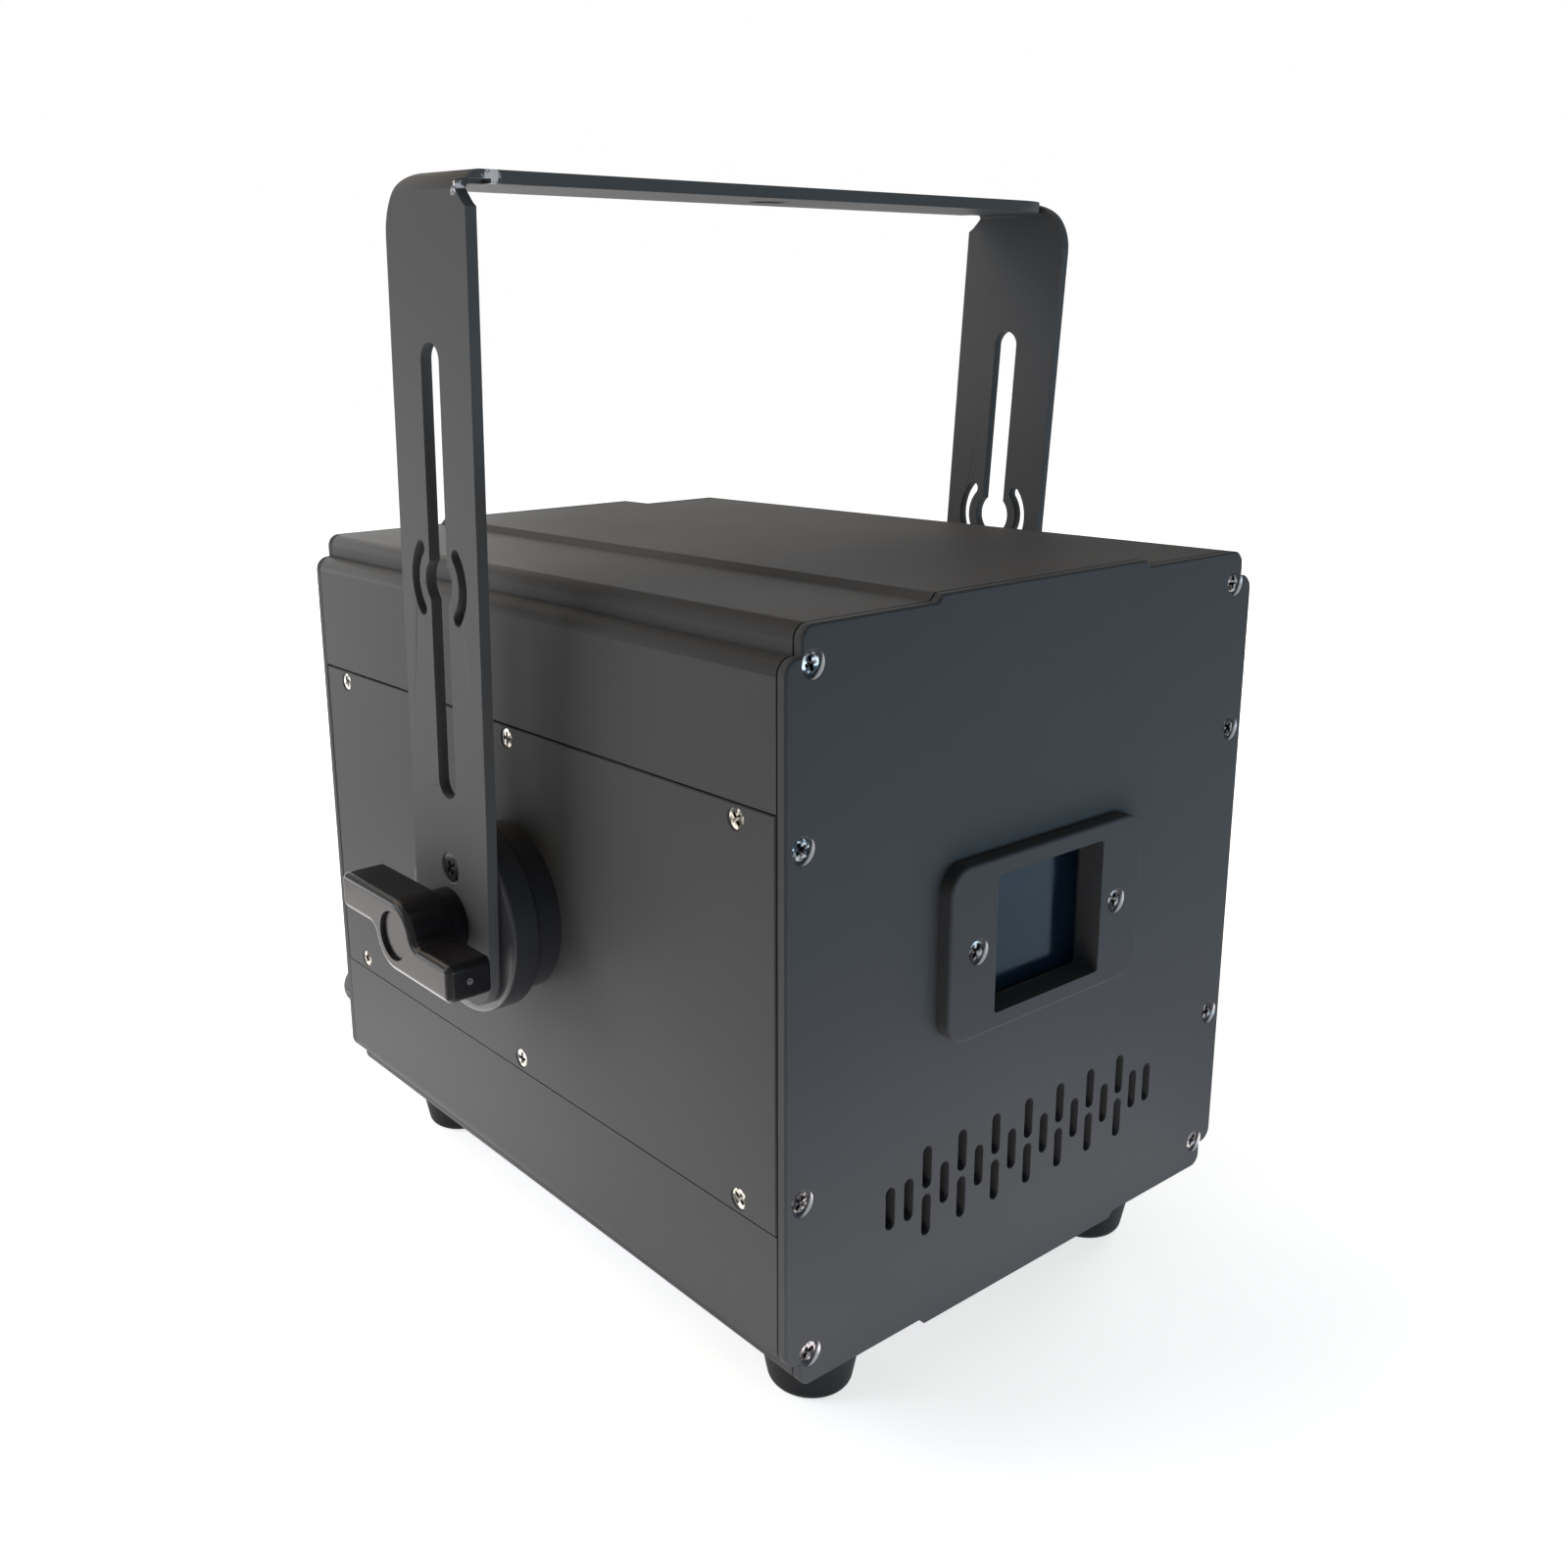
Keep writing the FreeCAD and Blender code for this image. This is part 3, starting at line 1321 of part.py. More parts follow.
def driver_board():
    level = bed_top + driver_standoff
    board = block(driver_left, driver_right, driver_front, driver_rear, level, level + board_thickness)
    inset = board_post_r + fit_gap
    posts = [rod(board_post_r, driver_standoff, V(x, y, bed_top), Z)
             for x in (driver_left + inset, driver_right - inset)
             for y in (driver_front + inset, driver_rear - inset)]
    sink = block(driver_right - driver_sink_width, driver_right, driver_front + inset * 2,
                 driver_rear - inset * 2, level + board_thickness, level + board_thickness + driver_sink_height)
    return fused([board, sink] + posts)


def power_supply():
    """Open tray with a board and its large parts."""
    tray = block(-supply_half_width, supply_half_width, supply_front, supply_rear,
                 floor_z, floor_z + supply_height)
    inside = block(-supply_half_width + supply_wall, supply_half_width - supply_wall, supply_front - overrun,
                   supply_rear + overrun, floor_z + supply_wall, floor_z + supply_height + overrun)
    board_z = floor_z + supply_wall + supply_board_lift
    board = block(-supply_half_width + supply_wall, supply_half_width - supply_wall,
                  supply_front, supply_rear, board_z, board_z + board_thickness)
    length = supply_rear - supply_front
    parts = [block(-supply_half_width / 2, 0, supply_front + length / 4, supply_front + length / 2,
                   board_z + board_thickness, board_z + supply_parts_height)]
    for third in (1, 2):
        foot_point = V(supply_half_width / 2, supply_front + length * third / 3, board_z)
        parts.append(rod(supply_half_width / 5, supply_parts_height, foot_point, Z))
    return fused([tray.cut(inside), board] + parts)


def build():
    """All nodes by name."""
    panel = side_panel()
    disc = case_disc()
    insert = pivot_insert()
    leg_disc = yoke_disc()
    knob = clamp_knob()
    cap = knob_cap()
    stud = clamp_stud()
    nodes = {
        "top_shell": shell(), "bottom_shell": bottom_shell(),
        "left_side_panel": other_side(panel), "right_side_panel": panel,
        "side_panel_screws": side_panel_screws(),
        "front_plate": front_plate(), "front_plate_screws": end_plate_screws(front_face),
        "rear_plate": rear_plate(), "rear_plate_screws": end_plate_screws(rear_face),
        "window_bezel": window_bezel(), "bezel_screws": bezel_screws(), "window_gasket": window_gasket(),
        "window_glass": window_glass(), "glass_holder": glass_holder(), "foot_screws": foot_screws(),
        "left_case_disc": other_side(disc), "right_case_disc": disc,
        "pivot_inserts": group([other_side(insert), insert]),
        "left_yoke_disc": leaning(other_side(leg_disc)), "right_yoke_disc": leaning(leg_disc),
        "yoke_disc_screws": leaning(yoke_disc_screws()), "yoke_bracket": leaning(yoke_bracket()),
        "left_clamp_knob": other_side(knob), "right_clamp_knob": knob,
        "left_knob_cap": other_side(cap), "right_knob_cap": cap,
        "left_clamp_stud": other_side(stud), "right_clamp_stud": stud,
        "mains_inlet": mains_inlet(), "fuse_holder": fuse_holder(), "switch_frame": switch_frame(),
        "power_rocker": power_rocker(), "signal_in_socket": signal_in_socket(),
        "signal_out_socket": signal_out_socket(), "data_socket": data_socket(), "lock_body": lock_body(),
        "lock_barrel": lock_barrel(), "display_window": display_window(), "safety_eye": safety_eye(),
        "rear_fitting_screws": rear_fitting_screws(), "control_board": control_board(),
        "fan_frame": fan_frame(), "fan_rotor": fan_rotor(), "optics_bed": optics_bed(),
        "laser_modules": laser_modules(), "beam_mirrors": beam_mirrors(), "scanner_block": scanner_block(),
        "scanner_motors": scanner_motors(), "pan_mirror": pan_mirror(), "tilt_mirror": tilt_mirror(),
        "driver_board": driver_board(), "power_supply": power_supply()}
    rubber = foot()
    for name, (x, y) in zip(FEET, foot_places()):
        nodes[name] = moved(rubber, x, y)
    for number, place in enumerate(button_places(), start=1):
        nodes["menu_button_%d" % number] = menu_button(place)
    return nodes


os.makedirs("parts", exist_ok=True)
stand = V(0, (bezel_thickness - fuse_reach) / 2, shoulder_z + foot_height)
for node, shape in build().items():
    shape.translate(stand)
    shape.exportStep("parts/%s.step" % node)
    print(node, len(shape.Solids), "solid(s)", round(shape.Volume), "cubic mm, valid", shape.isValid())
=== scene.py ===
# %% [markdown]
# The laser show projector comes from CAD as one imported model. This cell loads it as a fixed frame, in
# metres, with the case's feet on the floor and the beam leaving along -Y. Every later cell only adds
# finishes, small pieces, light and a camera round it, so the sizes stay those of the CAD model. Places of
# small pieces are written in millimetres from the middle of the case, as in the CAD source.

# %% Load the frame
import bmesh
import bpy
import json
import math
import random
from mathutils import Matrix, Vector


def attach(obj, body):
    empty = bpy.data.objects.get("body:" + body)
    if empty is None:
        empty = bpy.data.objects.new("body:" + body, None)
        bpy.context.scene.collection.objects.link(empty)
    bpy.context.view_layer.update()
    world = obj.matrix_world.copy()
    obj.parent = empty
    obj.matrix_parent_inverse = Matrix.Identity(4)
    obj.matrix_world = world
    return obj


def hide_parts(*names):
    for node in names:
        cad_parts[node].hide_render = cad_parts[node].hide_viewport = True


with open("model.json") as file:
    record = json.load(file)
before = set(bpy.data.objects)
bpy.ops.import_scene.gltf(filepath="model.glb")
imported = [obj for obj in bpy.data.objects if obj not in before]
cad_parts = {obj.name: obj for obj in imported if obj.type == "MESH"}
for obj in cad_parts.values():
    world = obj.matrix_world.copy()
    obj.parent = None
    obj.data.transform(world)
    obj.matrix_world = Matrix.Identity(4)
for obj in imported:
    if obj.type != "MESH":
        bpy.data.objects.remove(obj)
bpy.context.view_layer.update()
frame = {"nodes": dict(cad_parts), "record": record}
nodes = frame["nodes"]
MM = 0.001
CASE_MIDDLE = Vector((0, -5.25, 111.0)) * MM
YOKE_LEAN = Matrix.Rotation(math.radians(3.1), 4, "X")

# %% [markdown]
# Two helpers serve all materials. Colours are written as the sRGB hex values that one would pick on a
# screen, and turned to the linear values that shaders work in. A node is added with its settings and links
# in one call, which keeps each material readable as a list of what it is made of.

# %% Colour and node helpers
def linear(hex_code):
    """sRGB hex code to a linear RGBA colour."""
    channels = [int(hex_code[i:i + 2], 16) / 255 for i in (1, 3, 5)]
    return [c / 12.92 if c <= 0.04045 else ((c + 0.055) / 1.055) ** 2.4 for c in channels] + [1.0]


def add(tree, kind, inputs=None, **settings):
    """Adds a node, sets its properties, and links or sets its inputs."""
    made = tree.nodes.new(kind)
    for name, value in settings.items():
        setattr(made, name, value)
    for name, value in (inputs or {}).items():
        if isinstance(value, bpy.types.NodeSocket):
            tree.links.new(value, made.inputs[name])
        else:
            made.inputs[name].default_value = value
    return made


def new_material(name):
    """Empty material with its node tree and the output node."""
    material = bpy.data.materials.new(name)
    material.use_nodes = True
    material.node_tree.nodes.clear()
    return material, material.node_tree, add(material.node_tree, "ShaderNodeOutputMaterial")


print("grey card in linear light:", [round(c, 3) for c in linear("#777777")])

# %% [markdown]
# The camera stands where the photograph was taken from: left of the front, a little above the case. It
# could be placed by eye, but its place and angles were solved from the case's straight edges, so that the
# edges fall where the photograph has them. The lens shift is what the photograph's crop needs.

# %% Camera
camera_data = bpy.data.cameras.new("camera")
camera_data.sensor_width = 36.0
camera_data.lens = 34.924
camera_data.shift_x = 0.07740
camera_data.shift_y = -0.03029
camera_data.clip_start = 0.01
camera = bpy.data.objects.new("camera", camera_data)
camera.location = (-0.28780, -0.34075, 0.25790)
camera.rotation_euler = [math.radians(a) for a in (75.49035, 1.16511, -37.63534)]
bpy.context.scene.collection.objects.link(camera)
bpy.context.scene.camera = camera
print("camera at", [round(c, 3) for c in camera.location])

# %% [markdown]
# A product shot stands on a sweep of white paper, which catches the soft shadow. Lamps strong enough to
# burn the paper out would also flood the case, so what the camera, mirrors and glass see of the floor is
# lifted by a glow that lights nothing else. The glow is weaker near the case, where the shadow has to stay.

# %% Floor
FLOOR_REACH = 6.0
GLOW_NEAR, GLOW_FAR = 0.15, 0.80
GLOW_LOW, GLOW_FULL = 0.72, 1.0


def seen_directly(tree):
    """1 for rays that show the background: camera, glossy and transmission rays."""
    path = add(tree, "ShaderNodeLightPath").outputs
    seen = add(tree, "ShaderNodeMath", {0: path["Is Camera Ray"], 1: path["Is Glossy Ray"]},
               operation="MAXIMUM")
    return add(tree, "ShaderNodeMath", {0: seen.outputs[0], 1: path["Is Transmission Ray"]},
               operation="MAXIMUM").outputs[0]


sweep_paper, tree, output = new_material("white_sweep_paper")
place = add(tree, "ShaderNodeTexCoord").outputs["Object"]
paper = add(tree, "ShaderNodeBsdfDiffuse", {"Color": linear("#F2F2F2")})
from_case = add(tree, "ShaderNodeVectorMath", {0: place}, operation="LENGTH")
lift = add(tree, "ShaderNodeMapRange", {
    "Value": from_case.outputs["Value"], "From Min": GLOW_NEAR, "From Max": GLOW_FAR,
    "To Min": GLOW_LOW, "To Max": GLOW_FULL})
glow_strength = add(tree, "ShaderNodeMath", {0: seen_directly(tree), 1: lift.outputs["Result"]},
                    operation="MULTIPLY")
glow = add(tree, "ShaderNodeEmission", {"Color": linear("#FFFFFF"), "Strength": glow_strength.outputs[0]})
both = add(tree, "ShaderNodeAddShader", {0: paper.outputs[0], 1: glow.outputs[0]})
tree.links.new(both.outputs[0], output.inputs["Surface"])

floor_mesh = bpy.data.meshes.new("floor")
floor_mesh.from_pydata([(-FLOOR_REACH, -FLOOR_REACH, 0), (FLOOR_REACH, -FLOOR_REACH, 0),
                        (FLOOR_REACH, FLOOR_REACH, 0), (-FLOOR_REACH, FLOOR_REACH, 0)], [], [(0, 1, 2, 3)])
floor = bpy.data.objects.new("floor", floor_mesh)
floor.data.materials.append(sweep_paper)
bpy.context.scene.collection.objects.link(floor)
print("floor of", 2 * FLOOR_REACH, "m")

# %% [markdown]
# The studio round the set is plain white to the camera, to mirrors and through glass, and a weak grey light
# to everything else. A picture of a studio could do this too, but a few nodes are enough. To the right of
# the set the room is dark, and the top of the case, which is seen at a low angle, mirrors that as a darker
# corner.

# %% World
AMBIENT, WHITE = 0.14, 1.0
DARK_DIRECTION = math.radians(20)
DARK_RIM, DARK_CORE = 0.865, 0.945
dark_side = Vector((math.cos(DARK_DIRECTION), math.sin(DARK_DIRECTION), 0))
world = bpy.data.worlds.new("studio")
bpy.context.scene.world = world
world.use_nodes = True
tree = world.node_tree
tree.nodes.clear()
towards = add(tree, "ShaderNodeTexCoord").outputs["Generated"]
facing = add(tree, "ShaderNodeVectorMath", {0: towards, 1: dark_side}, operation="DOT_PRODUCT")
darkness = add(tree, "ShaderNodeMapRange",
               {"Value": facing.outputs["Value"], "From Min": DARK_RIM, "From Max": DARK_CORE})
mirrored = add(tree, "ShaderNodeLightPath").outputs["Is Glossy Ray"]
mirrored_dark = add(tree, "ShaderNodeMath", {0: mirrored, 1: darkness.outputs["Result"]},
                    operation="MULTIPLY")
shown = add(tree, "ShaderNodeMath", {0: seen_directly(tree), 1: mirrored_dark.outputs[0]},
            operation="SUBTRACT")
strength = add(tree, "ShaderNodeMapRange", {"Value": shown.outputs[0], "To Min": AMBIENT, "To Max": WHITE})
sky = add(tree, "ShaderNodeBackground", {"Color": linear("#FFFFFF"), "Strength": strength.outputs["Result"]})
add(tree, "ShaderNodeOutputWorld", {"Surface": sky.outputs[0]})
bpy.context.scene.view_settings.view_transform = "Standard"
print("world is white to the camera, dark side along", [round(c, 2) for c in dark_side])

# %% [markdown]
# Satin paint shows its form through broad soft highlights, so all lamps are panels, as soft boxes are in a
# studio. The main one stands on the left towards the rear, with a small low one beside it. White paper
# throws light up at the left side and at the front plate; flat panels just above the floor stand for that,
# because they can be tuned where a real bounce can't. A cool strip stands low before the front plate, a
# warm panel hangs over the rear, and two fills keep the right side and the rear readable. The right fill
# isn't mirrored, since the room is dark there.

# %% Lamps
# name, place, target and size in metres, watts, colour, whether surfaces mirror it
PANELS = (
    ("left_panel", (-1.3, 0.75, 0.75), (-0.08, 0, 0.12), (0.9, 0.9), 10.2, "#F3F8FF", True),
    ("left_rear_panel", (-0.45, 0.75, 0.12), (-0.09, 0, 0.08), (0.5, 0.24), 1.8, "#F3F8FF", True),
    ("left_table", (-0.155, 0, 0.004), (-0.155, 0, 1.0), (0.11, 0.36), 0.25, "#FFFFFF", True),
    ("left_far_table", (-0.24, 0.16, 0.004), (-0.24, 0.16, 1.0), (0.28, 0.30), 0.35, "#FFFAFA", True),
    ("front_panel", (0.15, -0.60, 0.03), (0, -0.1, 0.06), (0.6, 0.08), 1.65, "#BFE8FF", True),
    ("front_table", (0, -0.19, 0.004), (0, -0.19, 1.0), (0.24, 0.12), 0.22, "#FFEDEA", True),
    ("rear_top_panel", (-0.5, 0.9, 1.5), (0, 0, 0.1), (1.2, 1.2), 15, "#FFE4BC", True),
    ("right_fill", (1.4, 0.2, 0.35), (0.08, 0, 0.1), (1.0, 0.6), 8, "#FFFFFF", False),
    ("rear_fill", (0.3, 1.5, 0.35), (0, 0.1, 0.1), (1.0, 0.6), 5, "#FFFFFF", True))


def soft_panel(name, place, target, size, watts, colour, mirrored):
    """Rectangular lamp that faces a target."""
    lamp = bpy.data.lights.new(name, "AREA")
    lamp.shape = "RECTANGLE"
    lamp.size, lamp.size_y = size
    lamp.energy = watts
    lamp.color = linear(colour)[:3]
    panel = bpy.data.objects.new(name, lamp)
    panel.location = place
    panel.rotation_euler = (Vector(target) - Vector(place)).to_track_quat("-Z", "Y").to_euler()
    panel.visible_camera = False
    panel.visible_glossy = mirrored
    bpy.context.scene.collection.objects.link(panel)


for values in PANELS:
    soft_panel(*values)
print(len(PANELS), "soft panels")

# %% [markdown]
# The sheet metal is sprayed with satin paint: a smooth resin film with a faint orange peel, whose ripples
# are about a millimetre wide, and broad drifts of sheen where the spray overlapped. A picture texture could
# show that, but noise needs no unwrapping and fits every piece alike. The ripple is a shallow bump; the
# drifts move roughness and colour by a few percent. Where a mask says so, bare metal shows through.

# %% Satin paint
NOISE_LOW, NOISE_HIGH = 0.3, 0.7  # most of a noise pattern lies between these
DRIFT_MM, PEEL_MM, PEEL_DEPTH_MM, PEEL_STRENGTH = 60, 0.9, 0.05, 0.10
SHEEN_DRIFT = 0.03
FILM_IOR, FILM_SPECULAR = 1.5, 0.03
BARE_METAL, BARE_ROUGHNESS = "#939497", 0.34


def satin_paint(name, colour, drift_colour, roughness, bare_mask=None):
    """Sprayed paint, with bare metal where the mask is 1."""
    material, tree, output = new_material(name)
    place = add(tree, "ShaderNodeTexCoord").outputs["Object"]
    drift = add(tree, "ShaderNodeTexNoise",
                {"Vector": place, "Scale": 1 / (DRIFT_MM * MM), "Detail": 3.0}).outputs["Fac"]
    ripple = add(tree, "ShaderNodeTexNoise",
                 {"Vector": place, "Scale": 1 / (PEEL_MM * MM), "Detail": 2.0}).outputs["Fac"]
    tone = add(tree, "ShaderNodeMix", {"Factor": drift, "A": linear(colour), "B": linear(drift_colour)},
               data_type="RGBA").outputs["Result"]
    sheen = add(tree, "ShaderNodeMapRange", {
        "Value": drift, "From Min": NOISE_LOW, "From Max": NOISE_HIGH,
        "To Min": roughness - SHEEN_DRIFT, "To Max": roughness + SHEEN_DRIFT}).outputs["Result"]
    peel = add(tree, "ShaderNodeBump",
               {"Height": ripple, "Strength": PEEL_STRENGTH, "Distance": PEEL_DEPTH_MM * MM})
    film = add(tree, "ShaderNodeBsdfPrincipled", {
        "Normal": peel.outputs["Normal"], "IOR": FILM_IOR, "Specular IOR Level": FILM_SPECULAR})
    if bare_mask:
        bare = bare_mask(tree, place)
        tone = add(tree, "ShaderNodeMix", {"Factor": bare, "A": tone, "B": linear(BARE_METAL)},
                   data_type="RGBA").outputs["Result"]
        sheen = add(tree, "ShaderNodeMapRange",
                    {"Value": bare, "To Min": sheen, "To Max": BARE_ROUGHNESS}).outputs["Result"]
        tree.links.new(bare, film.inputs["Metallic"])
    tree.links.new(tone, film.inputs["Base Color"])
    tree.links.new(sheen, film.inputs["Roughness"])
    tree.links.new(film.outputs[0], output.inputs["Surface"])
    return material


print("paint with ripples of", PEEL_MM, "mm and drifts of", DRIFT_MM, "mm")

# %% [markdown]
# A painted highlight: bare metal shows in a crescent on the lower right wall of every countersink. The mask
# for it works in model coordinates, so it needs no painting by hand: inside the countersink's circle,
# outside a second circle that is shifted up and left, which leaves a crescent, and below the plate's face.

# %% Countersinks with a painted highlight
SINK_R = 3.45
SHIFT_X, SHIFT_Z = -1.0, 0.6
CRESCENT_START, CRESCENT_FULL = 3.75, 4.1
SKIN = 0.05


def countersinks(screw_places, face_mm):
    """Mask for a painted highlight, a bare crescent on the lower right wall of each countersink along Y."""
    def mask(tree, place):
        local = add(tree, "ShaderNodeVectorMath", {0: place, 1: CASE_MIDDLE}, operation="SUBTRACT").outputs[0]
        level = add(tree, "ShaderNodeVectorMath", {0: local, 1: (1, 0, 1)}, operation="MULTIPLY").outputs[0]
        painted_highlight = 0.0
        for x, z in screw_places:
            screw, shifted = Vector((x, 0, z)), Vector((x + SHIFT_X, 0, z + SHIFT_Z))
            gap = add(tree, "ShaderNodeVectorMath", {0: level, 1: screw * MM}, operation="DISTANCE")
            inside = add(tree, "ShaderNodeMath", {0: gap.outputs["Value"], 1: SINK_R * MM},
                         operation="LESS_THAN")
            aside = add(tree, "ShaderNodeVectorMath", {0: level, 1: shifted * MM}, operation="DISTANCE")
            beyond = add(tree, "ShaderNodeMapRange", {
                "Value": aside.outputs["Value"], "From Min": CRESCENT_START * MM,
                "From Max": CRESCENT_FULL * MM})
            hit = add(tree, "ShaderNodeMath", {0: inside.outputs[0], 1: beyond.outputs["Result"]},
                      operation="MULTIPLY")
            painted_highlight = add(tree, "ShaderNodeMath", {0: painted_highlight, 1: hit.outputs[0]},
                         operation="MAXIMUM").outputs[0]
        folded = add(tree, "ShaderNodeVectorMath", {0: local}, operation="ABSOLUTE").outputs[0]
        depth = add(tree, "ShaderNodeSeparateXYZ", {0: folded}).outputs["Y"]
        below = add(tree, "ShaderNodeMath", {0: depth, 1: (face_mm - SKIN) * MM}, operation="LESS_THAN")
        return add(tree, "ShaderNodeMath", {0: painted_highlight, 1: below.outputs[0]}, operation="MULTIPLY").outputs[0]
    return mask


print("crescents inside circles of", SINK_R, "mm")

# %% [markdown]
# The upper left corner of the yoke was knocked about, and its paint has come off in streaks. The mask fades
# out from a few spots and adds a fine noise before a threshold, so the bare patch has a broken edge, as
# chipped paint has.

# %% Knocked corner
STREAK_MM = 1.1
WORN_MIDDLE, WORN_RIM = 0.42, -0.35
CHIP_START, CHIP_FULL = 0.58, 0.70


def scuffs(spots):
    """Mask for paint rubbed off round some spots: place on the upright yoke and reach, in millimetres."""
    def mask(tree, place):
        streaks = add(tree, "ShaderNodeTexNoise", {
            "Vector": place, "Scale": 1 / (STREAK_MM * MM), "Detail": 5.0, "Roughness": 0.65}).outputs["Fac"]
        worn = 0.0
        for spot, reach in spots:
            centre = YOKE_LEAN @ (Vector(spot) * MM) + CASE_MIDDLE
            gap = add(tree, "ShaderNodeVectorMath", {0: place, 1: centre}, operation="DISTANCE")
            fade = add(tree, "ShaderNodeMapRange", {
                "Value": gap.outputs["Value"], "From Min": 0.0, "From Max": reach * MM,
                "To Min": WORN_MIDDLE, "To Max": WORN_RIM})
            level = add(tree, "ShaderNodeMath", {0: fade.outputs["Result"], 1: streaks}, operation="ADD")
            worn = add(tree, "ShaderNodeMath", {0: worn, 1: level.outputs[0]}, operation="MAXIMUM").outputs[0]
        return add(tree, "ShaderNodeMapRange",
                   {"Value": worn, "From Min": CHIP_START, "From Max": CHIP_FULL}).outputs["Result"]
    return mask


print("streaks of", STREAK_MM, "mm")

# %% [markdown]
# All painted pieces have the same dark grey. Each gets its own paint from the recipe: the case and its side
# panels nearly one tone, the end plates and the bezel a little darker, the yoke a little lighter.

# %% Paints
END_FACE, BEZEL_FACE = 110.0, 114.0
END_PLATE_SCREWS = [(76.3, 82.1), (78.9, 42.0)]
BEZEL_SCREWS = [(-26.3, 6.1), (26.3, 6.1)]
KNOCKED_SPOTS = [((-98.3, -18.75, 184.8), 5.2), ((-104.2, -14.3, 182.0), 4.0)]
PAINT_ROUGHNESS = 0.50


def four(places):
    """Places (x, z) in all four corners."""
    return [(sx * x, sz * z) for x, z in places for sx in (-1, 1) for sz in (-1, 1)]


case_paint = satin_paint("satin_paint_case", "#434446", "#494A4C", PAINT_ROUGHNESS)
panel_paint = satin_paint("satin_paint_panel", "#434446", "#494A4B", PAINT_ROUGHNESS)
# The end plates and the bezel carry a painted highlight of bare metal in each countersink.
plate_paint = satin_paint("satin_paint_plate", "#3F4144", "#454749", PAINT_ROUGHNESS,
                          countersinks(four(END_PLATE_SCREWS), END_FACE))
bezel_paint = satin_paint("satin_paint_bezel", "#3E4043", "#434548", PAINT_ROUGHNESS,
                          countersinks(BEZEL_SCREWS, BEZEL_FACE))
yoke_paint = satin_paint("satin_paint_yoke", "#4F5052", "#555658", PAINT_ROUGHNESS, scuffs(KNOCKED_SPOTS))
print("five satin paints")

# %% [markdown]
# Black plastics and rubber come out of moulds, whose eroded or polished walls leave a grain, and the melt's
# flow leaves broad changes of gloss. One recipe with other grain, colour and gloss gives all of them. A
# real grain of a tenth of a millimetre is too fine to show here, so it is drawn coarser.

# %% Moulded plastics and rubber
FLOW_MM, GRAIN_STRENGTH = 18, 0.25
GLOSSIER, DULLER = 0.04, 0.06


def moulded(name, colour, roughness, grain_mm, depth_mm, ior, specular=0.5):
    """Moulded material with a grain of a width and depth in millimetres."""
    material, tree, output = new_material(name)
    place = add(tree, "ShaderNodeTexCoord").outputs["Object"]
    grain = add(tree, "ShaderNodeTexNoise", {"Vector": place, "Scale": 1 / (grain_mm * MM), "Detail": 3.0})
    flow = add(tree, "ShaderNodeTexNoise", {"Vector": place, "Scale": 1 / (FLOW_MM * MM), "Detail": 2.0})
    gloss = add(tree, "ShaderNodeMapRange", {
        "Value": flow.outputs["Fac"], "From Min": NOISE_LOW, "From Max": NOISE_HIGH,
        "To Min": roughness - GLOSSIER, "To Max": roughness + DULLER})
    relief = add(tree, "ShaderNodeBump", {
        "Height": grain.outputs["Fac"], "Strength": GRAIN_STRENGTH, "Distance": depth_mm * MM})
    body = add(tree, "ShaderNodeBsdfPrincipled", {
        "Base Color": linear(colour), "Roughness": gloss.outputs["Result"],
        "Normal": relief.outputs["Normal"], "IOR": ior, "Specular IOR Level": specular})
    tree.links.new(body.outputs[0], output.inputs["Surface"])
    return material


# Nylon from an eroded mould: a fine grain that breaks up highlights
disc_plastic = moulded("moulded_nylon_discs", "#26272B", 0.40, 0.8, 0.05, 1.53, 0.22)
# Nylon from a polished mould: sharper lights along the wings
knob_plastic = moulded("moulded_nylon_knobs", "#1B1B1D", 0.20, 1.2, 0.02, 1.53, 0.14)
# Rubber: dull, with hardly any highlight
foot_rubber = moulded("moulded_rubber", "#18191B", 0.62, 0.7, 0.06, 1.52, 0.18)
# Glass-filled polyamide: even and half matt
connector_plastic = moulded("moulded_polyamide", "#151517", 0.45, 0.8, 0.03, 1.53, 0.22)
# ABS: a smooth skin, lighter so that the keys stand out
button_plastic = moulded("moulded_abs_buttons", "#35353A", 0.40, 0.8, 0.02, 1.53, 0.3)
# Filled polyester: plain satin blades
fan_plastic = moulded("moulded_fan_plastic", "#1A1A1B", 0.40, 1.0, 0.03, 1.53, 0.3)
# Smoked acrylic: polished, a near-black mirror
smoked_acrylic = moulded("smoked_acrylic", "#08090A", 0.06, 6.0, 0.005, 1.49)
# Foam rubber: open pores, no gloss at all
gasket_foam = moulded("foam_rubber", "#0C0C0C", 0.85, 0.6, 0.10, 1.50)
# Torn nylon: pale and rough where the sprue broke off
torn_plastic = moulded("torn_nylon_gate", "#5C5C60", 0.60, 0.4, 0.08, 1.53, 0.3)
# Pad-printed ink: a flat pale film
printed_mark = moulded("pad_printed_ink", "#C9C9C6", 0.55, 0.5, 0.01, 1.50)
print("ten moulded materials")

# %% [markdown]
# The metals are plated, turned, milled or pressed. Lathe, mill and brush leave fine lines, and the tone
# changes in duller patches; on the nickel-plated screws the dark patches are painted reflection of the room.
# Lines could be cut into the mesh, but noise that is stretched along one direction looks the same at this
# distance. Real tool lines are too fine to show here, so they are drawn coarser.

# %% Metals
LINE_STRETCH = (1.0, 1.0, 0.08)
LINE_DEPTH_MM, LINE_STRENGTH, LINE_GLOSS = 0.02, 0.08, 0.06
DARK_PATCH_MM = 1.6


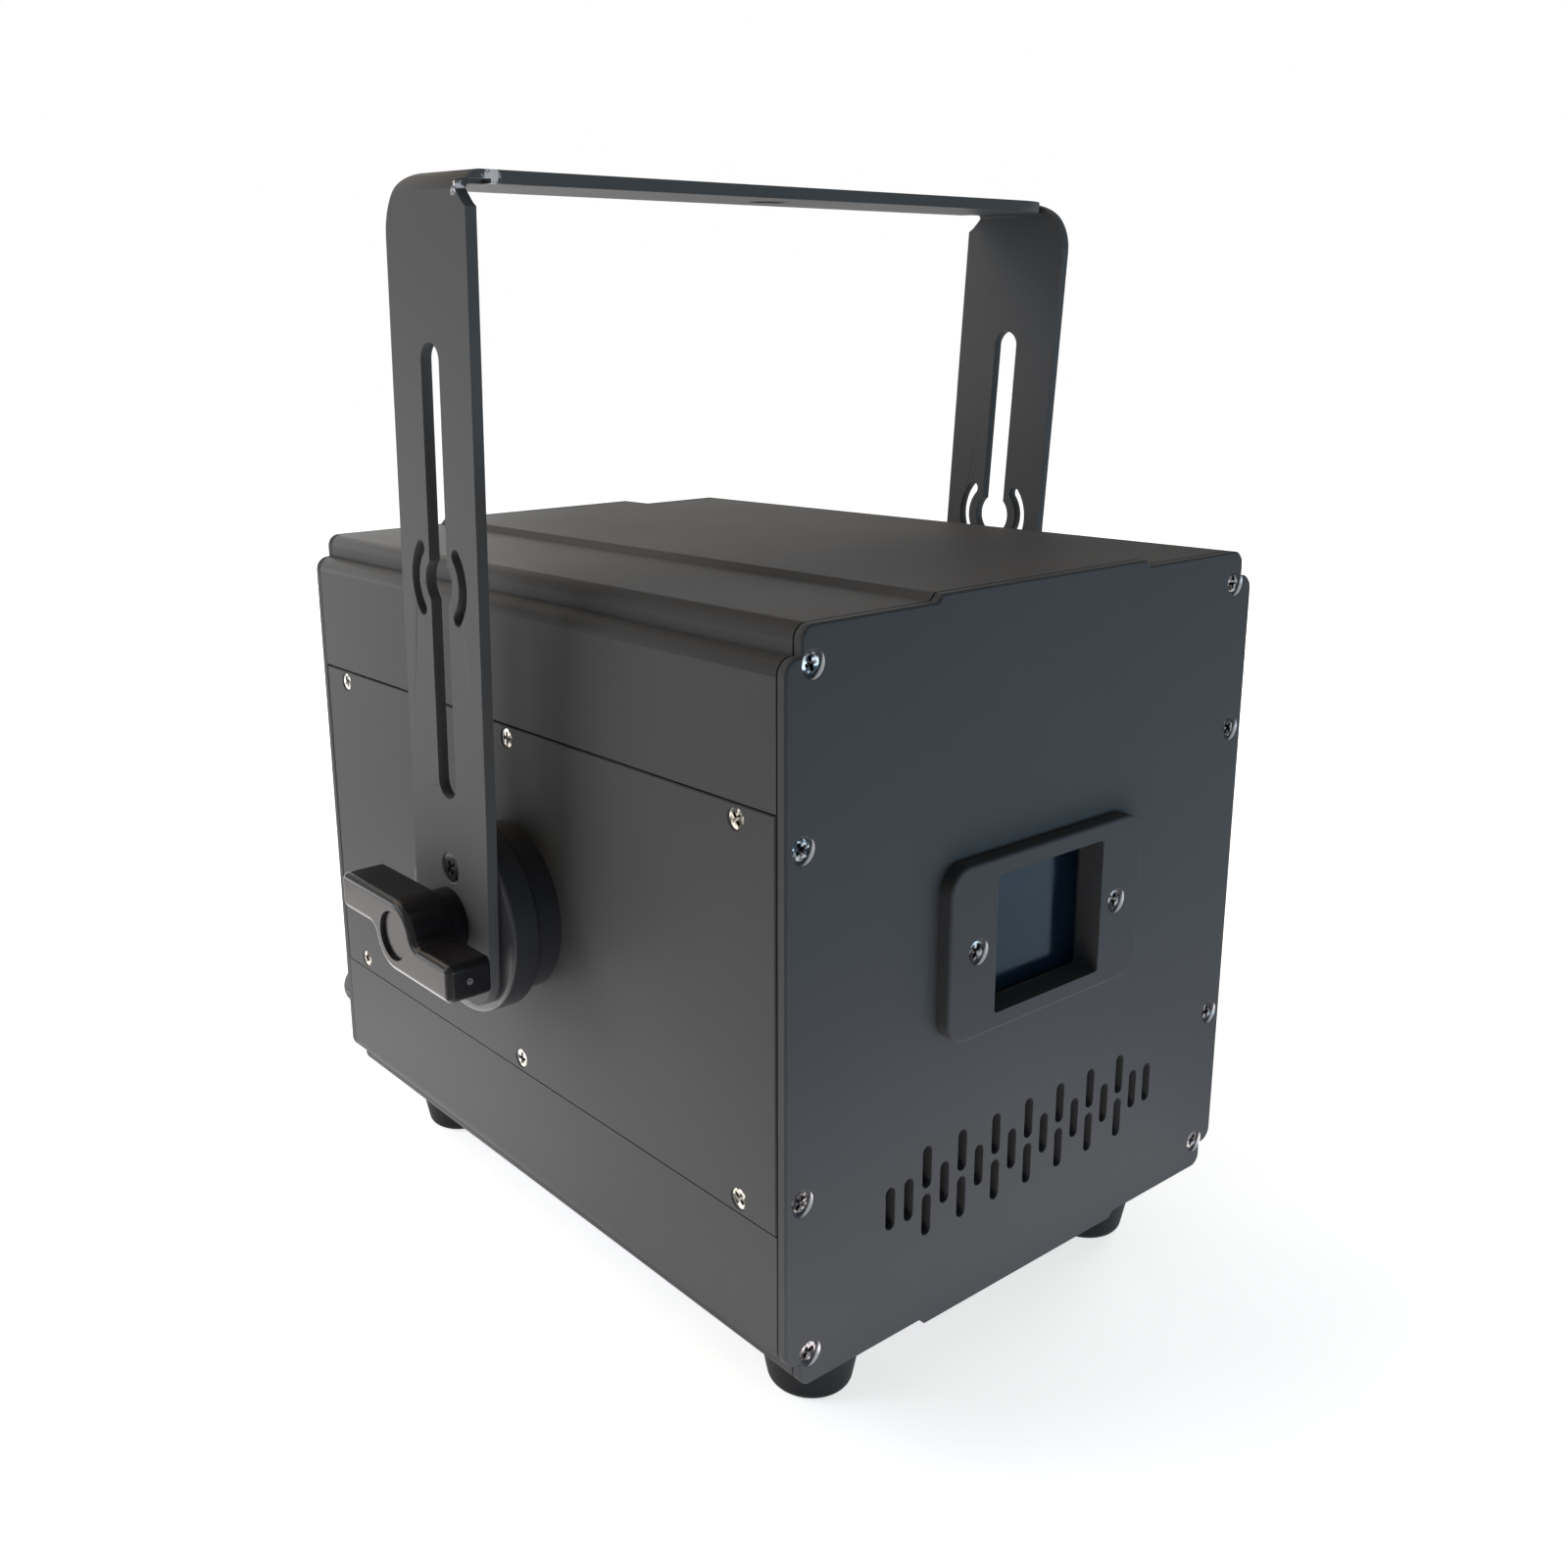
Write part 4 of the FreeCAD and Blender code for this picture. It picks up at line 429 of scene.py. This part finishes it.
def worked_metal(name, colour, stain_and_reflection_colour, roughness, line_mm, metallic=1.0, stain_and_reflection_mm=5.0,
                 stain_and_reflection_range=(0.0, 1.0)):
    """Metal with tool lines and with duller patches of a width in millimetres: stains, and painted reflection
    on nickel plate.
    """
    material, tree, output = new_material(name)
    place = add(tree, "ShaderNodeTexCoord").outputs["Object"]
    squeeze = add(tree, "ShaderNodeMapping", {"Vector": place, "Scale": LINE_STRETCH})
    lines = add(tree, "ShaderNodeTexNoise", {
        "Vector": squeeze.outputs["Vector"], "Scale": 1 / (line_mm * MM), "Detail": 4.0}).outputs["Fac"]
    # Dark patches on the nickel-plated screws are painted reflection; on the other metals they are a duller
    # tone.
    stain_and_reflection = add(tree, "ShaderNodeTexNoise", {"Vector": place, "Scale": 1 / (stain_and_reflection_mm * MM), "Detail": 3.0})
    stained_and_reflected = add(tree, "ShaderNodeMapRange", {
        "Value": stain_and_reflection.outputs["Fac"], "From Min": stain_and_reflection_range[0], "From Max": stain_and_reflection_range[1]})
    tone = add(tree, "ShaderNodeMix", {
        "Factor": stained_and_reflected.outputs["Result"], "A": linear(colour), "B": linear(stain_and_reflection_colour)}, data_type="RGBA")
    gloss = add(tree, "ShaderNodeMapRange", {
        "Value": lines, "From Min": NOISE_LOW, "From Max": NOISE_HIGH,
        "To Min": roughness - LINE_GLOSS, "To Max": roughness + LINE_GLOSS})
    scratch = add(tree, "ShaderNodeBump",
                  {"Height": lines, "Strength": LINE_STRENGTH, "Distance": LINE_DEPTH_MM * MM})
    metal = add(tree, "ShaderNodeBsdfPrincipled", {
        "Base Color": tone.outputs["Result"], "Metallic": metallic, "Roughness": gloss.outputs["Result"],
        "Normal": scratch.outputs["Normal"]})
    tree.links.new(metal.outputs[0], output.inputs["Surface"])
    return material


# Nickel plate: warm and bright, with dark patches of painted reflection of the room
nickel = worked_metal("nickel_plated_steel", "#B5B0A6", "#33312E", 0.26, 0.5, 1.0, DARK_PATCH_MM, (0.38, 0.56))
# Black nickel plate: cooler and darker, with small sharp lights and dark patches of painted reflection
dark_nickel = worked_metal("black_nickel_plated_steel", "#9D9DA0", "#1A1A1D", 0.24, 0.5, 1.0, DARK_PATCH_MM,
                           (0.34, 0.50))
# Black oxide on steel: nearly black, slightly oily gloss
black_oxide = worked_metal("black_oxide_steel", "#3A3A3D", "#0E0E10", 0.28, 0.5, 1.0, DARK_PATCH_MM,
                           (0.38, 0.58))
# Turned steel: plain grey with lathe lines
turned_steel = worked_metal("turned_steel", "#A9A9A8", "#8C8C8B", 0.30, 0.4)
# Turned brass: yellow with lathe lines
turned_brass = worked_metal("turned_brass", "#B89A55", "#94793E", 0.28, 0.4)
# Black anodised aluminium: a dark oxide skin through which the metal still shines a little
black_anodised = worked_metal("black_anodised_aluminium", "#1E2023", "#17191B", 0.42, 0.8, 0.6)
# Milled aluminium: pale, with cutter lines
machined_aluminium = worked_metal("machined_aluminium", "#C3C4C6", "#A9AAAC", 0.32, 0.6)
# Pressed aluminium sheet: duller, with rolling lines
pressed_aluminium = worked_metal("pressed_aluminium", "#B4B4B0", "#9B9B98", 0.36, 0.9)
# Mirror coating: almost perfectly smooth
mirror_coat = worked_metal("mirror_coating", "#E6E6EA", "#DADAE0", 0.07, 2.0)
# Polished zinc plate: bright and even
polished_zinc = worked_metal("polished_zinc_plate", "#C4C4C4", "#A6A6A7", 0.20, 0.6)
print("ten metals")

# %% [markdown]
# The window is a coated filter glass: its coating throws a little blue light back, tints its mirror image
# and lets only a small part of the light through. Clear glass with a coloured layer behind it would need
# more bounces for the same look, so one shader does it. Faint dust makes its sheen uneven.

# %% Window glass
DUST_MM = 9
window_glass, tree, output = new_material("coated_filter_glass")
place = add(tree, "ShaderNodeTexCoord").outputs["Object"]
dust = add(tree, "ShaderNodeTexNoise", {"Vector": place, "Scale": 1 / (DUST_MM * MM), "Detail": 6.0})
coat_tone = add(tree, "ShaderNodeMix", {
    "Factor": dust.outputs["Fac"], "A": linear("#050F19"), "B": linear("#08131D")}, data_type="RGBA")
haze = add(tree, "ShaderNodeMapRange", {
    "Value": dust.outputs["Fac"], "From Min": 0.35, "From Max": 0.75, "To Min": 0.10, "To Max": 0.18})
pane = add(tree, "ShaderNodeBsdfPrincipled", {
    "Base Color": coat_tone.outputs["Result"], "Roughness": haze.outputs["Result"], "IOR": 1.52,
    "Specular IOR Level": 0.25, "Specular Tint": linear("#70C8FF"), "Transmission Weight": 0.08})
tree.links.new(pane.outputs[0], output.inputs["Surface"])
print("coated glass with patches of dust of", DUST_MM, "mm")

# %% [markdown]
# The driver and control boards are glass cloth under a green solder mask, a smooth lacquer. The weave of
# the cloth just shows as lighter and darker bands, drawn by a distorted wave.

# %% Circuit board
WEAVE_MM = 4
solder_mask, tree, output = new_material("solder_mask_on_glass_cloth")
place = add(tree, "ShaderNodeTexCoord").outputs["Object"]
weave = add(tree, "ShaderNodeTexWave", {"Vector": place, "Scale": 1 / (WEAVE_MM * MM), "Distortion": 2.0})
mask_tone = add(tree, "ShaderNodeMix", {
    "Factor": weave.outputs["Fac"], "A": linear("#14502C"), "B": linear("#1B6036")}, data_type="RGBA")
lacquer = add(tree, "ShaderNodeBsdfPrincipled",
              {"Base Color": mask_tone.outputs["Result"], "Roughness": 0.35, "IOR": 1.55})
tree.links.new(lacquer.outputs[0], output.inputs["Surface"])
print("solder mask over a weave of", WEAVE_MM, "mm")

# %% [markdown]
# Each CAD node now takes the finish of its real material. The record already gives every node a material
# slot, so one table from slot to finish dresses them all.

# %% Finishes on the CAD nodes
FINISHES = {
    "case_paint": case_paint, "panel_paint": panel_paint, "plate_paint": plate_paint,
    "yoke_paint": yoke_paint, "bezel": bezel_paint, "window_glass": window_glass, "gasket": gasket_foam,
    "foot_rubber": foot_rubber, "disc_plastic": disc_plastic, "knob_plastic": knob_plastic,
    "nickel_screw": nickel, "black_screw": black_oxide, "steel": turned_steel, "brass": turned_brass,
    "connector_plastic": connector_plastic, "connector_metal": polished_zinc, "rocker": knob_plastic,
    "lock_metal": polished_zinc, "display": smoked_acrylic, "button": button_plastic, "board": solder_mask,
    "fan_plastic": fan_plastic, "optics_metal": black_anodised, "bare_aluminium": machined_aluminium,
    "mirror": mirror_coat, "supply_metal": pressed_aluminium}
slot_of = {entry["node"]: entry["material_slot"] for entry in frame["record"]["subparts"]}
for name, node_object in nodes.items():
    node_object.data.materials.clear()
    node_object.data.materials.append(FINISHES[slot_of[name]])
print("finishes on", len(nodes), "nodes")

# %% [markdown]
# Real edges are never razor sharp: sheet metal is deburred, and mouldings come out of a rounded tool. The
# CAD model could carry every such round, but modifiers are lighter: a weld joins the imported corners, and
# a narrow bevel gives each edge a line that catches light.

# %% Softened edges
EDGE_MM = {
    "yoke_bracket": 0.35, "top_shell": 0.15, "bottom_shell": 0.15, "front_plate": 0.15, "rear_plate": 0.15,
    "window_bezel": 0.20, "left_clamp_knob": 0.15, "right_clamp_knob": 0.15, "mains_inlet": 0.25,
    "signal_in_socket": 0.25, "signal_out_socket": 0.25, "switch_frame": 0.25, "power_rocker": 0.25,
    "data_socket": 0.15, "display_window": 0.15}
WELD_MM, SHARP_DEGREES = 0.002, 35
for name, width in EDGE_MM.items():
    weld = nodes[name].modifiers.new("joined_corners", "WELD")
    weld.merge_threshold = WELD_MM * MM
    bevel = nodes[name].modifiers.new("soft_edges", "BEVEL")
    bevel.width = width * MM
    bevel.segments = 2
    bevel.limit_method = "ANGLE"
    bevel.angle_limit = math.radians(SHARP_DEGREES)
    bevel.harden_normals = True
print("soft edges on", len(EDGE_MM), "nodes")

# %% [markdown]
# Small turned shapes share one builder: rings of vertices round an axis, joined to a skin. A spin of a
# curve would do as well, but a mesh drawn point by point can hold many pieces at once. A piece is drawn in
# millimetres, leant with the yoke where it belongs to it, and then handed to its CAD body.

# %% Helpers for small pieces
SMOOTH_DEGREES = 32


def along(place, direction, turn=0.0):
    """Matrix that puts a shape drawn along +Z at a place, looking along a direction."""
    aim = Vector(direction).to_track_quat("Z", "Y").to_matrix().to_4x4()
    return Matrix.Translation(place) @ aim @ Matrix.Rotation(turn, 4, "Z")


def turned(mesh, matrix, profile, segments=36):
    """Skin turned from (radius, height) points; returns its rings of vertices."""
    rings = []
    for radius, height in profile:
        angles = [2 * math.pi * k / segments for k in range(segments)] if radius else [0.0]
        points = [Vector((radius * math.cos(a), radius * math.sin(a), height)) for a in angles]
        rings.append([mesh.verts.new(matrix @ point) for point in points])
    for low, high in zip(rings, rings[1:]):
        for k in range(segments):
            corners = [low[k % len(low)], low[(k + 1) % len(low)],
                       high[(k + 1) % len(high)], high[k % len(high)]]
            mesh.faces.new(list(dict.fromkeys(corners)))
    return rings


def prism(mesh, outline, y0, y1):
    """Solid with an outline in the XZ plane, from y0 to y1."""
    near = [mesh.verts.new((x, y0, z)) for x, z in outline]
    far = [mesh.verts.new((x, y1, z)) for x, z in outline]
    mesh.faces.new(near)
    mesh.faces.new(far[::-1])
    for k in range(len(outline)):
        mesh.faces.new([near[k], far[k], far[(k + 1) % len(far)], near[(k + 1) % len(near)]])


def piece(name, mesh, body, material, replaced=None, lean=None, bevel_mm=0.0):
    """Turns a drawn mesh into an object on a CAD body."""
    bmesh.ops.recalc_face_normals(mesh, faces=mesh.faces)
    bmesh.ops.transform(mesh, matrix=lean or Matrix.Identity(4), verts=mesh.verts)
    to_metres = Matrix.Translation(CASE_MIDDLE) @ Matrix.Scale(MM, 4)
    bmesh.ops.transform(mesh, matrix=to_metres, verts=mesh.verts)
    data = bpy.data.meshes.new(name)
    mesh.to_mesh(data)
    mesh.free()
    data.shade_smooth()
    data.set_sharp_from_angle(angle=math.radians(SMOOTH_DEGREES))
    made = bpy.data.objects.new(name, data)
    made.data.materials.append(material)
    bpy.context.scene.collection.objects.link(made)
    if bevel_mm:
        bevel = made.modifiers.new("soft_edges", "BEVEL")
        bevel.width = bevel_mm * MM
        bevel.segments = 2
        bevel.limit_method = "ANGLE"
    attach(made, body)
    if replaced:
        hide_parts(replaced)


print("helpers for small pieces ready")

# %% [markdown]
# The screw heads have a cross recess. A dark cross could be painted on, but up close only real geometry
# catches the light: the flat of the head is filled between its rim and a cross outline, and the walls taper
# inwards as the driver's tip does.

# %% Screw shapes
CROSS_CORNERS = 12
FLOOR_ARM_SHARE, FLOOR_WIDTH_SHARE, FLOOR_DEPTH_SHARE = 0.5, 0.75, 0.75
RIM_INNER, RIM_MIDDLE, RIM_MIDDLE_DROP, RIM_DROP, CONE_DROP = 0.35, 0.12, 0.05, 0.22, 0.15
PAN_HEAD_SHARES = ((0.62, 1.0), (0.85, 0.88), (0.97, 0.6), (1.0, 0.25))


def cross_loop(mesh, matrix, arm, half_width, height):
    """Twelve corners of a cross."""
    corners = []
    for quarter in range(4):
        spin = Matrix.Rotation(quarter * math.pi / 2, 4, "Z")
        for x, y in ((arm, -half_width), (arm, half_width), (half_width, half_width)):
            corners.append(mesh.verts.new(matrix @ spin @ Vector((x, y, height))))
    return corners


def loop_edges(mesh, loop):
    """Edges round a closed loop of vertices."""
    return [mesh.edges.get((a, b)) or mesh.edges.new((a, b)) for a, b in zip(loop, loop[1:] + loop[:1])]


def cross_screw(mesh, matrix, profile, cross):
    """Screw whose profile starts at the rim of its flat top and runs down to the tip."""
    arm, half_width, depth = cross
    top = profile[0][1]
    rim = turned(mesh, matrix, profile)[0]
    mouth = cross_loop(mesh, matrix, arm, half_width, top)
    floor_loop = cross_loop(mesh, matrix, arm * FLOOR_ARM_SHARE, half_width * FLOOR_WIDTH_SHARE,
                            top - depth * FLOOR_DEPTH_SHARE)
    bmesh.ops.triangle_fill(mesh, use_beauty=True, edges=loop_edges(mesh, rim) + loop_edges(mesh, mouth))
    tip = mesh.verts.new(matrix @ Vector((0, 0, top - depth)))
    for k in range(CROSS_CORNERS):
        after = (k + 1) % CROSS_CORNERS
        mesh.faces.new([mouth[k], mouth[after], floor_loop[after], floor_loop[k]])
        mesh.faces.new([floor_loop[k], floor_loop[after], tip])


def countersunk_profile(head_r, shank_r, length):
    """Flat head with a softened rim, a cone under it and a plain shank."""
    return [(head_r - RIM_INNER, 0.0), (head_r - RIM_MIDDLE, -RIM_MIDDLE_DROP), (head_r, -RIM_DROP),
            (shank_r, shank_r - head_r - CONE_DROP), (shank_r, -length), (0, -length)]


def pan_profile(head_r, height, shank_r, length):
    """Rounded head on a plain shank."""
    head = [(head_r * r_share, height * height_share) for r_share, height_share in PAN_HEAD_SHARES]
    return head + [(head_r, 0), (shank_r, 0), (shank_r, -length), (0, -length)]


M3_FLAT = countersunk_profile(2.6, 1.5, 9.0)
M3_SHORT = countersunk_profile(2.6, 1.5, 6.5)
M4_FLAT = countersunk_profile(4.0, 2.0, 8.0)
M3_PAN = pan_profile(2.8, 1.8, 1.5, 8.5)
M3_CROSS, M4_CROSS, PAN_CROSS = (1.70, 0.46, 1.4), (2.1, 0.55, 1.9), (1.35, 0.38, 1.1)
print("four screw profiles, longest", -M3_FLAT[-1][1], "mm")

# %% [markdown]
# The screws hold the end plates, the bezel, the side panels, the yoke's discs and the rear fittings. They
# take the place of the plain CAD screws, one piece for each group. On a real projector no two screws stop
# at the same angle, so each is turned by chance.

# %% Screws in their places
HALF_WIDTH, HALF_HEIGHT = 84, 90.5
FITTING_FACE, LEG_FACE = 112, 103.5
END_SUNK, PANEL_SUNK, YOKE_SUNK = 0.75, 0.25, 0.30
PANEL_SCREW_Y, PANEL_SCREW_Z, DISC_SCREW_Z = 93.8, 46.35, 14.7
FAN_Z, FAN_SCREW = 0.555 * HALF_HEIGHT, 25
SOCKET_Z, SOCKET_SCREW_X, SOCKET_SCREW_Z = -0.707 * HALF_HEIGHT, 9.5, 12
SOCKET_IN_X, SOCKET_OUT_X = 0.143 * HALF_WIDTH, 0.571 * HALF_WIDTH
EYE, EYE_SCREW_Z = (0.536 * HALF_WIDTH, 0.066 * HALF_HEIGHT), 10
ENDS = (-1, 1)
FRONT, REAR = (0, -1, 0), (0, 1, 0)

rear_seats = [(sx * FAN_SCREW, END_FACE, FAN_Z + sz * FAN_SCREW) for sx in ENDS for sz in ENDS]
rear_seats += [(x + s * SOCKET_SCREW_X, FITTING_FACE, SOCKET_Z - s * SOCKET_SCREW_Z)
               for x in (SOCKET_IN_X, SOCKET_OUT_X) for s in ENDS]
rear_seats += [(EYE[0], FITTING_FACE, EYE[1] + s * EYE_SCREW_Z) for s in ENDS]
SCREW_SETS = {
    "front_plate_screws": ([((x, -END_FACE + END_SUNK, z), FRONT) for x, z in four(END_PLATE_SCREWS)],
                           M3_FLAT, M3_CROSS, "case", dark_nickel),
    "rear_plate_screws": ([((x, END_FACE - END_SUNK, z), REAR) for x, z in four(END_PLATE_SCREWS)],
                          M3_FLAT, M3_CROSS, "case", dark_nickel),
    "bezel_screws": ([((x, -BEZEL_FACE + END_SUNK, z), FRONT) for x, z in BEZEL_SCREWS],
                     M3_FLAT, M3_CROSS, "case", dark_nickel),
    "side_panel_screws": ([((s * (HALF_WIDTH - PANEL_SUNK), y, sz * PANEL_SCREW_Z), (s, 0, 0))
                           for s in ENDS for y in (-PANEL_SCREW_Y, 0, PANEL_SCREW_Y) for sz in ENDS],
                          M3_SHORT, M3_CROSS, "case", nickel),
    "yoke_disc_screws": ([((s * (LEG_FACE - YOKE_SUNK), 0, sz * DISC_SCREW_Z), (s, 0, 0))
                          for s in ENDS for sz in ENDS],
                         M4_FLAT, M4_CROSS, "yoke", black_oxide),
    "rear_fitting_screws": ([(seat, REAR) for seat in rear_seats], M3_PAN, PAN_CROSS, "case", black_oxide)}
chance = random.Random(7)
for node, (seats, profile, cross, body, metal) in SCREW_SETS.items():
    screws = bmesh.new()
    for seat, direction in seats:
        cross_screw(screws, along(seat, direction, chance.uniform(0, math.pi / 2)), profile, cross)
    piece(node + "_phillips", screws, body, metal, node, YOKE_LEAN if body == "yoke" else None)
    print(len(seats), "screws for", node)

# %% [markdown]
# The mains inlet has three flat blades in its well. They are plain prisms with softened edges, since a
# blade is cut from flat strip.

# %% Mains blades
INLET = (-0.452 * HALF_WIDTH, -0.729 * HALF_HEIGHT)
BLADE_HALF_WIDTH, BLADE_HALF_HEIGHT = 1.06, 2.31
BLADE_ROOT, BLADE_TIP, BLADE_EDGE = 97.0, 106.1, 0.4
BLADE_PLACES = ((-7.0, 0.0), (0.0, 4.0), (7.0, 0.0))
blades = bmesh.new()
for dx, dz in BLADE_PLACES:
    x, z = INLET[0] + dx, INLET[1] + dz
    outline = [(x - BLADE_HALF_WIDTH, z - BLADE_HALF_HEIGHT), (x + BLADE_HALF_WIDTH, z - BLADE_HALF_HEIGHT),
               (x + BLADE_HALF_WIDTH, z + BLADE_HALF_HEIGHT), (x - BLADE_HALF_WIDTH, z + BLADE_HALF_HEIGHT)]
    prism(blades, outline, BLADE_ROOT, BLADE_TIP)
piece("mains_blades", blades, "case", polished_zinc, bevel_mm=BLADE_EDGE)
print(len(BLADE_PLACES), "mains blades")

# %% [markdown]
# The control signal comes in at a socket with three pins and leaves at one with three sleeves. Both kinds
# are turned on a lathe on the real connector, so they are turned here too, on one circle.

# %% Signal contacts
CONTACT_CIRCLE_R = 5.2
CONTACT_ANGLES = [math.radians(a) for a in (30, 150, 270)]
PIN_ROOT, PIN_PROFILE = 100.0, [(1.24, 0.0), (1.24, 6.4), (0.95, 6.9), (0.5, 7.15), (0, 7.2)]
SLEEVE_ROOT, SLEEVE_PROFILE = 104.5, [(1.39, 0.0), (1.39, 6.3), (1.15, 6.45), (0.95, 6.3), (0.95, 0.0)]
pins = bmesh.new()
sleeves = bmesh.new()
for a in CONTACT_ANGLES:
    dx, dz = CONTACT_CIRCLE_R * math.cos(a), CONTACT_CIRCLE_R * math.sin(a)
    turned(pins, along((SOCKET_IN_X + dx, PIN_ROOT, SOCKET_Z + dz), REAR), PIN_PROFILE, segments=20)
    turned(sleeves, along((SOCKET_OUT_X + dx, SLEEVE_ROOT, SOCKET_Z + dz), REAR), SLEEVE_PROFILE, segments=20)
piece("signal_in_pins", pins, "case", polished_zinc)
piece("signal_out_sleeves", sleeves, "case", turned_brass)
print(len(CONTACT_ANGLES), "pins and as many sleeves")

# %% [markdown]
# The scan data socket has a moulded insert with slanted ends, so that the plug fits one way only, and two
# rows of contacts in it. The contact holes are drawn as thin rings on the insert, which saves cutting 25
# holes.

# %% Data socket
DATA = (-0.476 * HALF_WIDTH, 0.044 * HALF_HEIGHT)
INSERT_HALF_WIDTH, INSERT_HALF_HEIGHT, INSERT_SLANT, INSERT_EDGE = 18.1, 3.1, 1.3, 0.2
INSERT_BACK, INSERT_FACE, CONTACT_BACK = 115.5, 116.25, 116.2
CONTACT_ROWS, CONTACT_PITCH = ((1.42, 13), (-1.42, 12)), 2.76
RING_PROFILE = [(0.78, 0.0), (0.78, 0.14), (0.45, 0.14), (0.45, 0.0)]
insert = bmesh.new()
prism(insert, [(DATA[0] - INSERT_HALF_WIDTH + INSERT_SLANT, DATA[1] - INSERT_HALF_HEIGHT),
               (DATA[0] + INSERT_HALF_WIDTH - INSERT_SLANT, DATA[1] - INSERT_HALF_HEIGHT),
               (DATA[0] + INSERT_HALF_WIDTH, DATA[1] + INSERT_HALF_HEIGHT),
               (DATA[0] - INSERT_HALF_WIDTH, DATA[1] + INSERT_HALF_HEIGHT)], INSERT_BACK, INSERT_FACE)
piece("data_socket_insert", insert, "case", connector_plastic, bevel_mm=INSERT_EDGE)
contacts = bmesh.new()
for row, count in CONTACT_ROWS:
    for k in range(count):
        x = DATA[0] + (k - (count - 1) / 2) * CONTACT_PITCH
        turned(contacts, along((x, CONTACT_BACK, DATA[1] + row), REAR), RING_PROFILE, segments=16)
piece("data_socket_contacts", contacts, "case", turned_brass)
print(sum(count for row, count in CONTACT_ROWS), "contacts in the data socket")

# %% [markdown]
# A finger turns the cap of the fuse holder, so it has ribs all round. Each rib is a slim rod with tapered
# ends, partly sunk in the cap.

# %% Ribs of the fuse cap
FUSE_FROM_SIDE, FUSE_FROM_BASE = 12.0, 22.5
FUSE = (FUSE_FROM_SIDE - HALF_WIDTH, FUSE_FROM_BASE - HALF_HEIGHT)
RIB_COUNT, RIB_CIRCLE_R, RIB_FOOT = 18, 7.45, 113.0
RIB_PROFILE = [(0, 0), (0.35, 0.3), (0.45, 1.0), (0.45, 8.2), (0.25, 9.0), (0, 9.2)]
ribs = bmesh.new()
for k in range(RIB_COUNT):
    a = 2 * math.pi * k / RIB_COUNT
    foot = (FUSE[0] + RIB_CIRCLE_R * math.cos(a), RIB_FOOT, FUSE[1] + RIB_CIRCLE_R * math.sin(a))
    turned(ribs, along(foot, REAR), RIB_PROFILE, segments=8)
piece("fuse_cap_ribs", ribs, "case", connector_plastic)
print(RIB_COUNT, "ribs")

# %% [markdown]
# The rocker carries the usual line and ring for on and off, printed on its two halves. They are thin raised
# ink, drawn on the rocker's own slanted faces, so they tip with it.

# %% Rocker marks
SWITCH = (-0.738 * HALF_WIDTH, -0.309 * HALF_HEIGHT)
AXIS_Y, RIDGE, THROW = 108.2, 3.6, math.radians(8.0)
MARK_Z, INK, SUNK = 3.7, 0.05, -0.10
RING_OUTER_R, RING_INNER_R = 1.55, 1.05
LINE_HALF_WIDTH, LINE_HALF_LENGTH = 0.28, 1.5
rocker_rest = Matrix.Translation((SWITCH[0], AXIS_Y, SWITCH[1])) @ Matrix.Rotation(THROW, 4, "X")


def on_rocker(side):
    """Matrix that puts a mark drawn along +Z on the upper (1) or lower (-1) half of the rocker's face."""
    half = Matrix.Translation((0, RIDGE, 0)) @ Matrix.Rotation(-side * THROW, 4, "X")
    return rocker_rest @ half @ along((0, 0, side * MARK_Z), REAR)


marks = bmesh.new()
turned(marks, on_rocker(-1),
       [(RING_OUTER_R, SUNK), (RING_OUTER_R, INK), (RING_INNER_R, INK), (RING_INNER_R, SUNK)],
       segments=32)
corners = [(-LINE_HALF_WIDTH, -LINE_HALF_LENGTH), (LINE_HALF_WIDTH, -LINE_HALF_LENGTH),
           (LINE_HALF_WIDTH, LINE_HALF_LENGTH), (-LINE_HALF_WIDTH, LINE_HALF_LENGTH)]
low, high = ([marks.verts.new(on_rocker(1) @ Vector((a, b, height))) for a, b in corners]
             for height in (SUNK, INK))
marks.faces.new(high)
for k in range(4):
    marks.faces.new([low[k], low[(k + 1) % 4], high[(k + 1) % 4], high[k]])
piece("rocker_marks", marks, "rocker", printed_mark)
print("line and ring on the rocker")

# %% [markdown]
# Each wing knob was moulded through a gate at the end of one wing. Where the sprue was twisted off, a pale
# torn nub is left inside a shallow ring; both are one turned shape.

# %% Gate marks on the knobs
GATE_X, GATE_Y, GATE_Z = 114.9, 28.2, -5.0
GATE_PROFILE = [(1.00, -0.20), (0.90, 0.10), (0.70, 0.12), (0.55, 0.00), (0.40, 0.20), (0.18, 0.32),
                (0, 0.28)]
for side, sx in (("left", -1), ("right", 1)):
    nub = bmesh.new()
    turned(nub, along((sx * GATE_X, sx * GATE_Y, GATE_Z), (0, sx, 0)), GATE_PROFILE, segments=20)
    piece(side + "_knob_gate_mark", nub, side + "_knob", torn_plastic)
print("gate marks on both knobs")

# %% [markdown]

# %% Finish
print("done")
